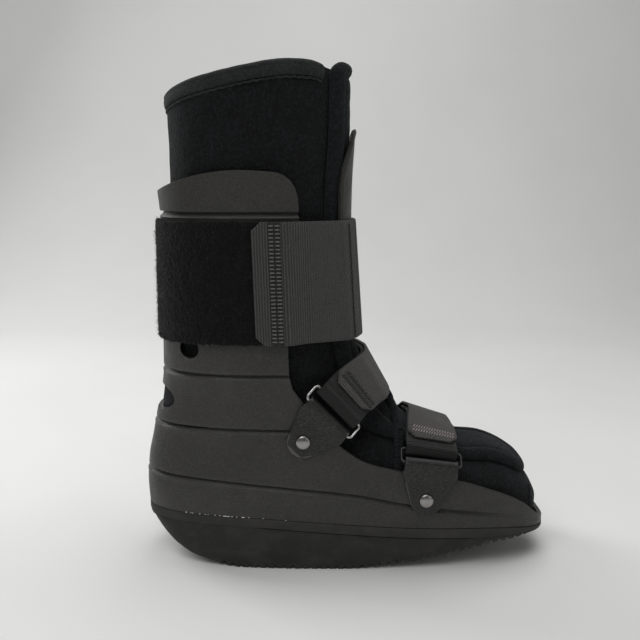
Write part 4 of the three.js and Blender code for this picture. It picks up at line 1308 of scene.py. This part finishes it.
def knit(name, color, light, size=0.85, sheen=0.06):
    s = Shader(name)
    loops = s.cells(size, s.scaled((1.0, 1.0, 0.62)))
    base = s.blend(s.remap(s.noise(17, 4), 0.35, 0.68), color, shade(color, 1.5))
    base = s.over(base, s.noise(2.1, 3), 0.46, 0.62, 0.75, light)
    base = s.over(base, loops, 0.32, 0.0, 0.5, light)
    s.set(Base_Color=base, Roughness=0.92, Specular_IOR_Level=0.2)
    s.set(Sheen_Weight=sheen, Sheen_Roughness=0.45, Sheen_Tint=(0.75, 0.8, 0.85, 1))
    fluff = s.noise(1.1, 4, roughness=0.7)
    wool = s.relief(s.noise(6, 3), 0.3, 0.5)
    s.set(Normal=s.relief(s.plus(s.times(loops, -1.2), fluff), 0.6, 1.0, wool))
    return s.material


def pile():
    s = Shader("loop_pile")
    fluff = s.noise(1.5, 4, roughness=0.7)
    cloud = s.noise(9, 4)
    base = s.blend(s.remap(cloud, 0.3, 0.7), (0.0025, 0.0025, 0.0025), (0.006, 0.006, 0.006))
    base = s.over(base, fluff, 0.56, 0.72, 0.55, (0.042, 0.042, 0.042))
    s.set(Base_Color=base, Roughness=1.0, Specular_IOR_Level=0.1)
    s.set(Sheen_Weight=0.12, Sheen_Roughness=0.6, Sheen_Tint=(0.7, 0.7, 0.72, 1))
    rough = s.relief(cloud, 0.8, 0.5)
    s.set(Normal=s.relief(s.math("SUBTRACT", fluff, s.cells(1.25)), 0.7, 1.0, rough))
    return s.material


# Ribbed webbing, drawn along the strap: ribs run across it, fine yarns along it, and it can have
# a smoother band and a dark band between two places along it
def webbing(name, color, light, rib, smooth=(0, 0), dark=(0, 0)):
    s = Shader(name)
    parts = s.node("ShaderNodeSeparateXYZ", {"Vector": s.strap})
    along, across = parts.outputs["X"], parts.outputs["Y"]
    waver = s.times(s.math("SUBTRACT", s.noise(9, 2), 0.5), 0.5 * MM)
    turn = s.times(s.plus(along, waver), 2 * math.pi / (rib * MM))
    ribs = s.remap(s.math("SINE", turn), -1.0, 1.0)
    yarn = s.remap(s.math("SINE", s.times(across, 2 * math.pi / (1.25 * MM))), -1.0, 1.0)
    shift = s.remap(s.math("SINE", s.times(turn, 0.5)), -0.1, 0.1)
    twill = s.math("ABSOLUTE", s.math("SUBTRACT", yarn, shift))
    zone = s.band(along, smooth, 2)
    fluff = s.noise(0.6, 3)
    base = s.blend(s.remap(s.noise(14, 4), 0.32, 0.7), color, shade(color, 1.25))
    base = s.blend(s.times(ribs, s.remap(zone, 0.0, 1.0, 0.7, 0.25)), base, light)
    base = s.blend(s.times(twill, 0.4), base, shade(color, 0.5))
    base = s.blend(s.times(zone, 0.18), base, light)
    base = s.blend(s.times(s.band(along, dark, 0.5), 0.75), base, shade(color, 0.25))
    base = s.over(base, fluff, 0.55, 0.8, 0.35, shade(light, 1.5))
    s.set(Base_Color=base, Roughness=0.72, Specular_IOR_Level=0.35)
    s.set(Sheen_Weight=0.1, Sheen_Roughness=0.4)
    height = s.plus(s.times(ribs, s.remap(zone, 0.0, 1.0, 1.0, 0.4)), s.times(twill, 0.6))
    s.set(Normal=s.relief(s.plus(height, s.times(fluff, 0.7)), 0.8))
    return s.material


def metal(name, color, dark, roughness, worn):
    s = Shader(name)
    paint = s.remap(s.noise(3.2, 4, distortion=0.5), worn, worn + 0.05)
    scratch = s.noise(0.7, 3, s.scaled((1.0, 0.2, 0.2)))
    s.set(Base_Color=s.blend(paint, color, dark), Metallic=s.remap(paint, 0.0, 1.0, 1.0, 0.15))
    s.set(Roughness=s.remap(scratch, 0.3, 0.7, roughness - 0.08, roughness + 0.14))
    s.set(Normal=s.relief(s.plus(s.times(paint, 0.8), scratch), 0.08, 0.5))
    return s.material


def brushed():
    s = Shader("brushed_tab")
    lines = s.noise(0.5, 3, s.scaled((0.25, 1.0, 1.0)))
    cloud = s.noise(8, 4)
    base = s.blend(s.remap(cloud, 0.3, 0.7), (0.0062, 0.006, 0.0058), (0.014, 0.0137, 0.0132))
    base = s.over(base, lines, 0.48, 0.68, 0.6, (0.07, 0.069, 0.067))
    # The edges and the rolled top are lighter: a painted highlight
    s.set(Base_Color=s.blend(s.times(s.edges(0.62), 0.55), base, (0.16, 0.155, 0.15)))
    s.set(Roughness=s.remap(cloud, 0.3, 0.7, 0.4, 0.56), Specular_IOR_Level=0.4)
    s.set(Normal=s.relief(s.plus(lines, s.noise(1.6, 3)), 0.1, 0.7))
    return s.material


def rubber():
    s = Shader("sole_rubber")
    dust = s.noise(13, 5, s.scaled((1, 1, 1.6)))
    grain = s.noise(1.2, 4, roughness=0.7)
    base = s.blend(s.remap(s.noise(30, 3), 0.3, 0.7), (0.018, 0.0178, 0.017), (0.028, 0.0274, 0.026))
    base = s.over(base, dust, 0.46, 0.72, 0.22, (0.085, 0.082, 0.076))
    s.set(Base_Color=s.blend(s.times(s.edges(0.62), 0.3), base, (0.12, 0.118, 0.112)))
    s.set(Roughness=0.72, Specular_IOR_Level=0.35)
    s.set(Normal=s.relief(s.plus(grain, s.noise(2.6, 3)), 0.3, 0.9))
    return s.material


def thread(name, color):
    s = Shader(name)
    ply = s.noise(0.35, 2)
    s.set(Base_Color=s.blend(s.remap(ply, 0.35, 0.7), color, shade(color, 1.9)))
    s.set(Roughness=0.75, Sheen_Weight=0.2, Normal=s.relief(ply, 0.08, 0.8))
    return s.material


def pale_floor():
    s = Shader("pale_stage")
    s.set(Base_Color=s.blend(s.remap(s.noise(300, 2), 0.3, 0.7), (0.86, 0.86, 0.85), (0.9, 0.9, 0.89)))
    s.set(Roughness=0.85, Specular_IOR_Level=0.2)
    return s.material


# Camera, lights and the pale stage: places in metres, angles in degrees, the lens in millimetres
CAMERA_PLACE = (0, -0.567, 0.271)
CAMERA_PITCH = 9.86
CAMERA_YAW = 1.1
CAMERA_LENS = 44.16
CAMERA_SENSOR = 36
WORLD_STRENGTH = 0.12
# Area lights: place, aim, size and power
LIGHTS = {
    "key": ((-0.35, -0.75, 1.25), (0, 0, 0.12), (1.0, 0.8), 6.6),
    "over": ((0.25, 0.25, 1.5), (0.02, 0, 0.1), (1.3, 0.9), 8),
    "rim": ((-0.9, 0.5, 0.8), (-0.02, 0, 0.18), (0.5, 0.9), 6),
    "front": ((0.9, -0.8, 0.5), (0.05, 0, 0.15), (0.6, 0.6), 0.8),
}
FLOOR_BEND = 0.5


def place_in_scene(name, data, place, aim):
    thing = bpy.data.objects.new(name, data)
    thing.location = place
    thing.rotation_euler = aim.to_track_quat("-Z", "Y").to_euler()
    bpy.context.scene.collection.objects.link(thing)
    return thing


def make_camera():
    pitch, yaw = math.radians(CAMERA_PITCH), math.radians(CAMERA_YAW)
    aim = Vector((math.sin(yaw) * math.cos(pitch), math.cos(yaw) * math.cos(pitch), -math.sin(pitch)))
    camera = place_in_scene("camera", bpy.data.cameras.new("camera"), CAMERA_PLACE, aim)
    camera.data.lens = CAMERA_LENS
    camera.data.sensor_width = CAMERA_SENSOR
    camera.data.clip_start = 0.02
    bpy.context.scene.camera = camera


def make_stage():
    for name, (place, target, size, power) in LIGHTS.items():
        data = bpy.data.lights.new(name, "AREA")
        data.shape = "RECTANGLE"
        data.size, data.size_y = size
        data.energy = power
        place_in_scene(name, data, place, Vector(target) - Vector(place))
    world = bpy.data.worlds.new("soft_studio")
    world.use_nodes = True
    world.node_tree.nodes["Background"].inputs["Color"].default_value = (1.0, 0.99, 0.97, 1)
    world.node_tree.nodes["Background"].inputs["Strength"].default_value = WORLD_STRENGTH
    bpy.context.scene.world = world
    bpy.context.scene.view_settings.view_transform = "Standard"
    bend = [(0.8 + FLOOR_BEND * math.sin(a), FLOOR_BEND * (1 - math.cos(a)))
            for a in np.linspace(0, math.pi / 2, 12)]
    profile = [(-2.0, 0)] + bend + [(1.3, 2.5)]
    points = [(x, y, z) for y, z in profile for x in (-3.0, 3.0)]
    floor = mesh_object("studio_floor", np.array(points) / MM, grid_faces(len(profile), 2))
    floor.data.materials.append(pale_floor())
    floor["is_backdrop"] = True


# Rings of a round section about points. The section of a steep line is laid out from x, not from z
def round_section(middle, along, sides, radius, steep):
    helper = np.where(np.abs(along[:, 2:]) > steep, [(1.0, 0, 0)], [(0, 0, 1.0)])
    side = unit(np.cross(along, helper))
    other = np.cross(along, side)
    return np.stack([middle + (side * math.cos(a) + other * math.sin(a)) * radius for a in around(sides)], 1)


# Shares along a stitch and the thickness there
STITCH_SHAPE = [(0, 0.3), (0.14, 0.85), (0.5, 1.0), (0.86, 0.85), (1, 0.3)]


# Stitches: short plump threads from each start to its end
def make_stitches(name, starts, ends, radius, material, slot):
    starts, ends = np.asarray(starts, float), np.asarray(ends, float)
    along = unit(ends - starts)
    rings = [round_section(starts + (ends - starts) * share, along, 6, radius * size, 0.9)
             for share, size in STITCH_SHAPE]
    points = np.concatenate(rings, axis=1)
    rows = len(STITCH_SHAPE)
    faces = [face for k in range(len(starts)) for face in tube_faces(rows, 6, rows * 6 * k)]
    return finish_piece(solid(name, points, faces, 0.0001), material, slot)


# A cord along a line of points
def make_cord(name, line, radius, material, slot, sides=8):
    points = round_section(line, unit(np.gradient(line, axis=0)), sides, radius, 0.8)
    faces = tube_faces(len(line), sides)
    return finish_piece(solid(name, points, faces, 0.0001), material, slot)


# Loose fibres standing out of a fuzzy face
def add_fibres(piece, count, length, width):
    mesh = piece.data
    mesh.calc_loop_triangles()
    corners = np.array([t.vertices for t in mesh.loop_triangles])
    at = np.array([v.co for v in mesh.vertices])
    normals = np.array([v.normal for v in mesh.vertices])
    a, b, c = at[corners[:, 0]], at[corners[:, 1]], at[corners[:, 2]]
    area = np.linalg.norm(np.cross(b - a, c - a), axis=1)
    pick = rng.choice(len(corners), count, p=area / area.sum())
    u, v = rng.random((2, count, 1))
    flip = u + v > 1
    u, v = np.where(flip, 1 - u, u), np.where(flip, 1 - v, v)
    root = a[pick] + (b[pick] - a[pick]) * u + (c[pick] - a[pick]) * v
    lean = unit(normals[corners[pick, 0]] + rng.normal(0, 0.55, (count, 3)))
    side = unit(np.cross(lean, rng.normal(0, 1, (count, 3)))) * width / 2 * MM
    tall = rng.uniform(0.5, 1.0, (count, 1)) * length * MM
    curl = rng.normal(0, 0.3, (count, 3)) * tall
    middle = root + lean * tall * 0.55
    tip = root + lean * tall + curl
    points = np.stack([root - side, root + side, middle + side * 0.8, middle - side * 0.8, tip], 1)
    faces = []
    for i in range(0, 5 * count, 5):
        faces += [(i, i + 1, i + 2, i + 3), (i + 3, i + 2, i + 4)]
    return mesh_object(piece.name + "_fibres", points / MM, faces)


# Makes a face uneven: bumps of a size, and a jitter of each of its points
def fuzz(piece, amount, size, seed):
    mesh = piece.data
    normals = np.array([v.normal for v in mesh.vertices])
    at = np.array([v.co for v in mesh.vertices])
    shift = Vector((seed, seed * 2, 0))
    push = np.array([field.noise(Vector(p) + shift) for p in at / (size * MM)])
    jitter = rng.normal(0, 0.5, len(push))
    moved = at + normals * ((push + jitter) * amount * MM)[:, None]
    mesh.vertices.foreach_set("co", moved.reshape(-1))
    mesh.update()


# Columns of bar stitches across a strap: places along it, rows across it, and a bar's far end
def bar_stitches(name, run, columns, rows, reach, rise, radius, look):
    ends = []
    for along, across, height in ((0, 0, rise[0]), (*reach, rise[1])):
        ends.append([run.on(c + along, rows + across, WEBBING_THICKNESS + height) for c in columns])
    starts, ends = map(np.concatenate, ends)
    make_stitches(name, starts, ends, radius, look, "webbing")


make_camera()
make_stage()
SHELL_LOOK = plastic("charcoal_plastic", (0.0225, 0.0218, 0.0205), (0.088, 0.085, 0.08), 0.46)
LINER_LOOK = knit("liner_knit", (0.0042, 0.0044, 0.0048), (0.013, 0.0145, 0.0165))
FLAP_LOOK = knit("flap_knit", (0.0062, 0.0068, 0.0074), (0.0165, 0.0188, 0.021))
BINDING_LOOK = knit("binding_tape", (0.0175, 0.019, 0.0185), (0.037, 0.0405, 0.0395), 0.7, 0.1)
PILE_LOOK = pile()
CALF_LOOK = webbing("calf_webbing", (0.033, 0.033, 0.0322), (0.15, 0.148, 0.144), 1.8,
                    smooth=(143, 181), dark=(114.2, 123.2))
WEBBING_LOOK = webbing("foot_webbing", (0.056, 0.054, 0.0515), (0.17, 0.164, 0.155), 1.5)
TAPE_LOOK = webbing("foot_tape", (0.0095, 0.0093, 0.009), (0.036, 0.0352, 0.034), 1.2)
TAB_LOOK = brushed()
RING_LOOKS = {
    "ankle": metal("worn_steel", (0.6, 0.6, 0.59), (0.03, 0.03, 0.03), 0.3, 0.6),
    "forefoot": metal("painted_wire", (0.13, 0.13, 0.13), (0.012, 0.012, 0.012), 0.35, 0.3),
}
RIVET_LOOK = metal("rivet_steel", (0.32, 0.31, 0.3), (0.05, 0.05, 0.05), 0.26, 0.68)
RUBBER_LOOK = rubber()
GREY_THREAD = thread("grey_thread", (0.095, 0.094, 0.092))
DARK_THREAD = thread("black_thread", (0.006, 0.006, 0.006))
PLUM_THREAD = thread("plum_thread", (0.032, 0.022, 0.026))
PALE_THREAD = thread("pale_plum_thread", (0.2, 0.172, 0.18))
GLUE_LOOK = thread("dried_glue", (0.5, 0.5, 0.48))

finish_piece(make_shell(), SHELL_LOOK, "shell", "shell")
finish_piece(make_outsole(), RUBBER_LOOK, "outsole", "outsole")
liner, liner_points = make_liner()
finish_piece(liner, LINER_LOOK, "liner", "liner")
flap, flap_points = make_flap()
finish_piece(flap, FLAP_LOOK, "flap", "liner_front_flap")
finish_piece(make_plate(), SHELL_LOOK, "plate", "shin_plate")
finish_piece(make_binding(), BINDING_LOOK, "binding", "liner_top_binding")

calf_loop, calf_webbing, calf_front, calf_run = make_calf_straps()
finish_piece(add_fibres(calf_loop, count=16000, length=2.3, width=0.24), PILE_LOOK, "pile")
fuzz(calf_loop, amount=0.45, size=2.2, seed=3.0)
finish_piece(calf_loop, PILE_LOOK, "pile", "calf_loop_strap")
finish_piece(calf_webbing, CALF_LOOK, "webbing", "calf_webbing_strap")
finish_piece(calf_front, WEBBING_LOOK, "webbing", "calf_front_band")

# Bar stitches near the calf webbing's start, and the dark zigzag at its seam
start = CALF_REACH - CALF_START
rows = np.arange(-CALF_WIDTH / 2 + 3, CALF_WIDTH / 2 - 2, 2.55)
bar_stitches("calf_bar_stitches", calf_run, (start + 11.0, start + 15.2), rows, (3.3, 0),
             (0.15, 0.15), 0.62, GREY_THREAD)
rows = np.arange(-CALF_WIDTH / 2 + 1.5, CALF_WIDTH / 2 - 1.5, 1.4)
probe = np.linspace(CALF_SEAM - 40, CALF_SEAM, 200)
ZIGZAG_X = 30.5
seam_at = np.interp(ZIGZAG_X, calf_run.on(probe, 0, 0)[:, 0], probe)
zigzag = seam_at - 1.2 + 2.4 * (np.arange(len(rows)) % 2)
path = calf_run.on(zigzag, rows, WEBBING_THICKNESS + 0.35)
make_stitches("calf_seam_stitches", path[:-1], path[1:], 0.55, DARK_THREAD, "webbing")

# The foot straps with their end stitches and hardware
surface = np.concatenate([liner_points.reshape(-1, 3), flap_points.reshape(-1, 3)])
for name, strap in FOOT_STRAPS.items():
    loop, web, run = make_foot_strap(name, strap, surface)
    finish_piece(loop, TAPE_LOOK, "pile", name + "_loop_strap")
    finish_piece(web, WEBBING_LOOK, "webbing", name + "_webbing_strap")
    rows = np.arange(-FOOT_STRAP_WIDTH / 2 + 3.5, FOOT_STRAP_WIDTH / 2 - 3, 1.9)
    # On the ankle strap the stitches are dark, a painted shade standing for the shaded slits of the stitch
    # holes; on the forefoot strap they are pale thread
    look = DARK_THREAD if name == "ankle" else PALE_THREAD
    bar_stitches(name + "_end_stitches", run, (WEBBING_SETBACK + 4.5, WEBBING_SETBACK + 8.2), rows,
                 (3.1, 1.3), (0.1, 0.15), 0.55, look)
    places = hardware(strap)
    for side, mirror in (("near", 1), ("far", -1)):
        tab = make_tab(f"{name}_tab_plate_{side}", strap, places, mirror)
        finish_piece(tab, TAB_LOOK, "tab", f"{name}_tab_{side}")
        ring = make_ring(f"{name}_wire_ring_{side}", places, mirror)
        finish_piece(ring, RING_LOOKS[name], "ring", f"{name}_ring_{side}")
        rivet = make_rivet(f"{name}_rivet_dome_{side}", places, mirror)
        finish_piece(rivet, RIVET_LOOK, "rivet", f"{name}_rivet_{side}")

# The seam ridge under the binding
probe = np.linspace(-2.38, 2.38, 260)
ridge = liner_point(top_ring(probe), probe, 0.25)
ridge[:, 2] -= 10.4 + 0.25 * np.sin(np.arange(len(probe)) * 1.3)
make_cord("binding_seam", ridge, 0.75, BINDING_LOOK, "binding")

# Dried glue along the joint of shell and outsole: place along the boot and half length
GLUE = [
    (-85, 0.7), (-81.6, 0.35), (-80.2, 0.4), (-75, 0.5), (-71, 0.4), (-69, 0.3), (-64, 0.4),
    (-60.5, 0.5), (-57, 1.6), (-54.5, 1.1), (-51.8, 0.5), (-48.5, 0.4), (-44, 1.3), (-40, 0.5),
    (-30, 0.35), (-14, 0.4),
]
at, size = np.array(GLUE).T
level_z = joint_z(at) + 0.2
starts = np.stack([at - size, -shell_half_width(at, level_z, 0.05), level_z], 1)
ends = np.stack([at + size, -shell_half_width(at + size, level_z, 0.05), joint_z(at + size) + 0.2], 1)
make_stitches("glue_specks", starts, ends, 0.33, GLUE_LOOK, "outsole")

# Stitches along the crease inside each of the flap's rolled edges, plum between the foot straps
seam = np.abs(flap_points[:, 0, 1]) - FLAP_CREASE
for side, sign in (("near", -1), ("far", 1)):
    line = np.array([
        [np.interp(sign * y, row[:, 1], row[:, k]) for k in (0, 1, 2)]
        for row, y in zip(flap_points, seam)
    ])[10:-12]
    between = (line[:, 0] > 30) & (line[:, 0] < 80)
    for look, name, keep in ((DARK_THREAD, "dark", ~between), (PLUM_THREAD, "plum", between)):
        first = np.where(keep[:-1])[0]
        ends = line[first] + (line[first + 1] - line[first]) * 0.72
        make_stitches(f"flap_{name}_stitches_{side}", line[first], ends, 0.45, look, "flap")

# A raised seam round the liner's toe
angle = np.linspace(0.75, math.pi - 0.95, 60)
for side, sign in (("near", -1), ("far", 1)):
    toe = liner_point(18.7, angle, 0.35) * (1, sign, 1)
    make_cord("toe_seam_" + side, toe, 0.9, FLAP_LOOK, "liner")

# A frayed thread at the top of the calf webbing's seam
frayed = calf_run.on([seam_at + 3, seam_at + 3.6, seam_at + 4.6], [40.6, 43.5, 45.6], 2.6)
make_stitches("frayed_thread", frayed[:-1], frayed[1:], 0.22, GREY_THREAD, "webbing")

# A padded roll on each side of the liner, from the flap down to the shell between the foot straps
ROLL_PATH = Table("z x", [(72, 65), (84, 66.2), (98, 66.2), (108, 64.6), (116, 61)])
heights = np.linspace(72, 116, 60)
along = ROLL_PATH(heights)["x"]
flat = surface[:, [0, 2]]
near_by = [np.hypot(*(flat - at).T) < 2.6 for at in zip(along, heights)]
out = np.array([np.abs(surface[chosen, 1]).max() for chosen in near_by])
out = np.convolve(np.pad(out, 6, mode="edge"), np.ones(13) / 13, mode="valid")
for side, mirror in (("near", -1), ("far", 1)):
    line = np.stack([along, mirror * (out - 0.6), heights], 1)
    make_cord("liner_side_roll_" + side, line, 3.3, FLAP_LOOK, "liner", sides=16)
    whip = line[2:-2:3] + (-2.6, mirror * 2.0, 0)
    make_stitches("liner_side_stitches_" + side, whip, whip + (1.6, mirror * 0.9, 1.0), 0.3,
                  PLUM_THREAD, "liner")

visual_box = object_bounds()
boxes = {"cad": cad_box, "visual": visual_box}
{name: [list(map(float, corner)) for corner in box] for name, box in boxes.items()}
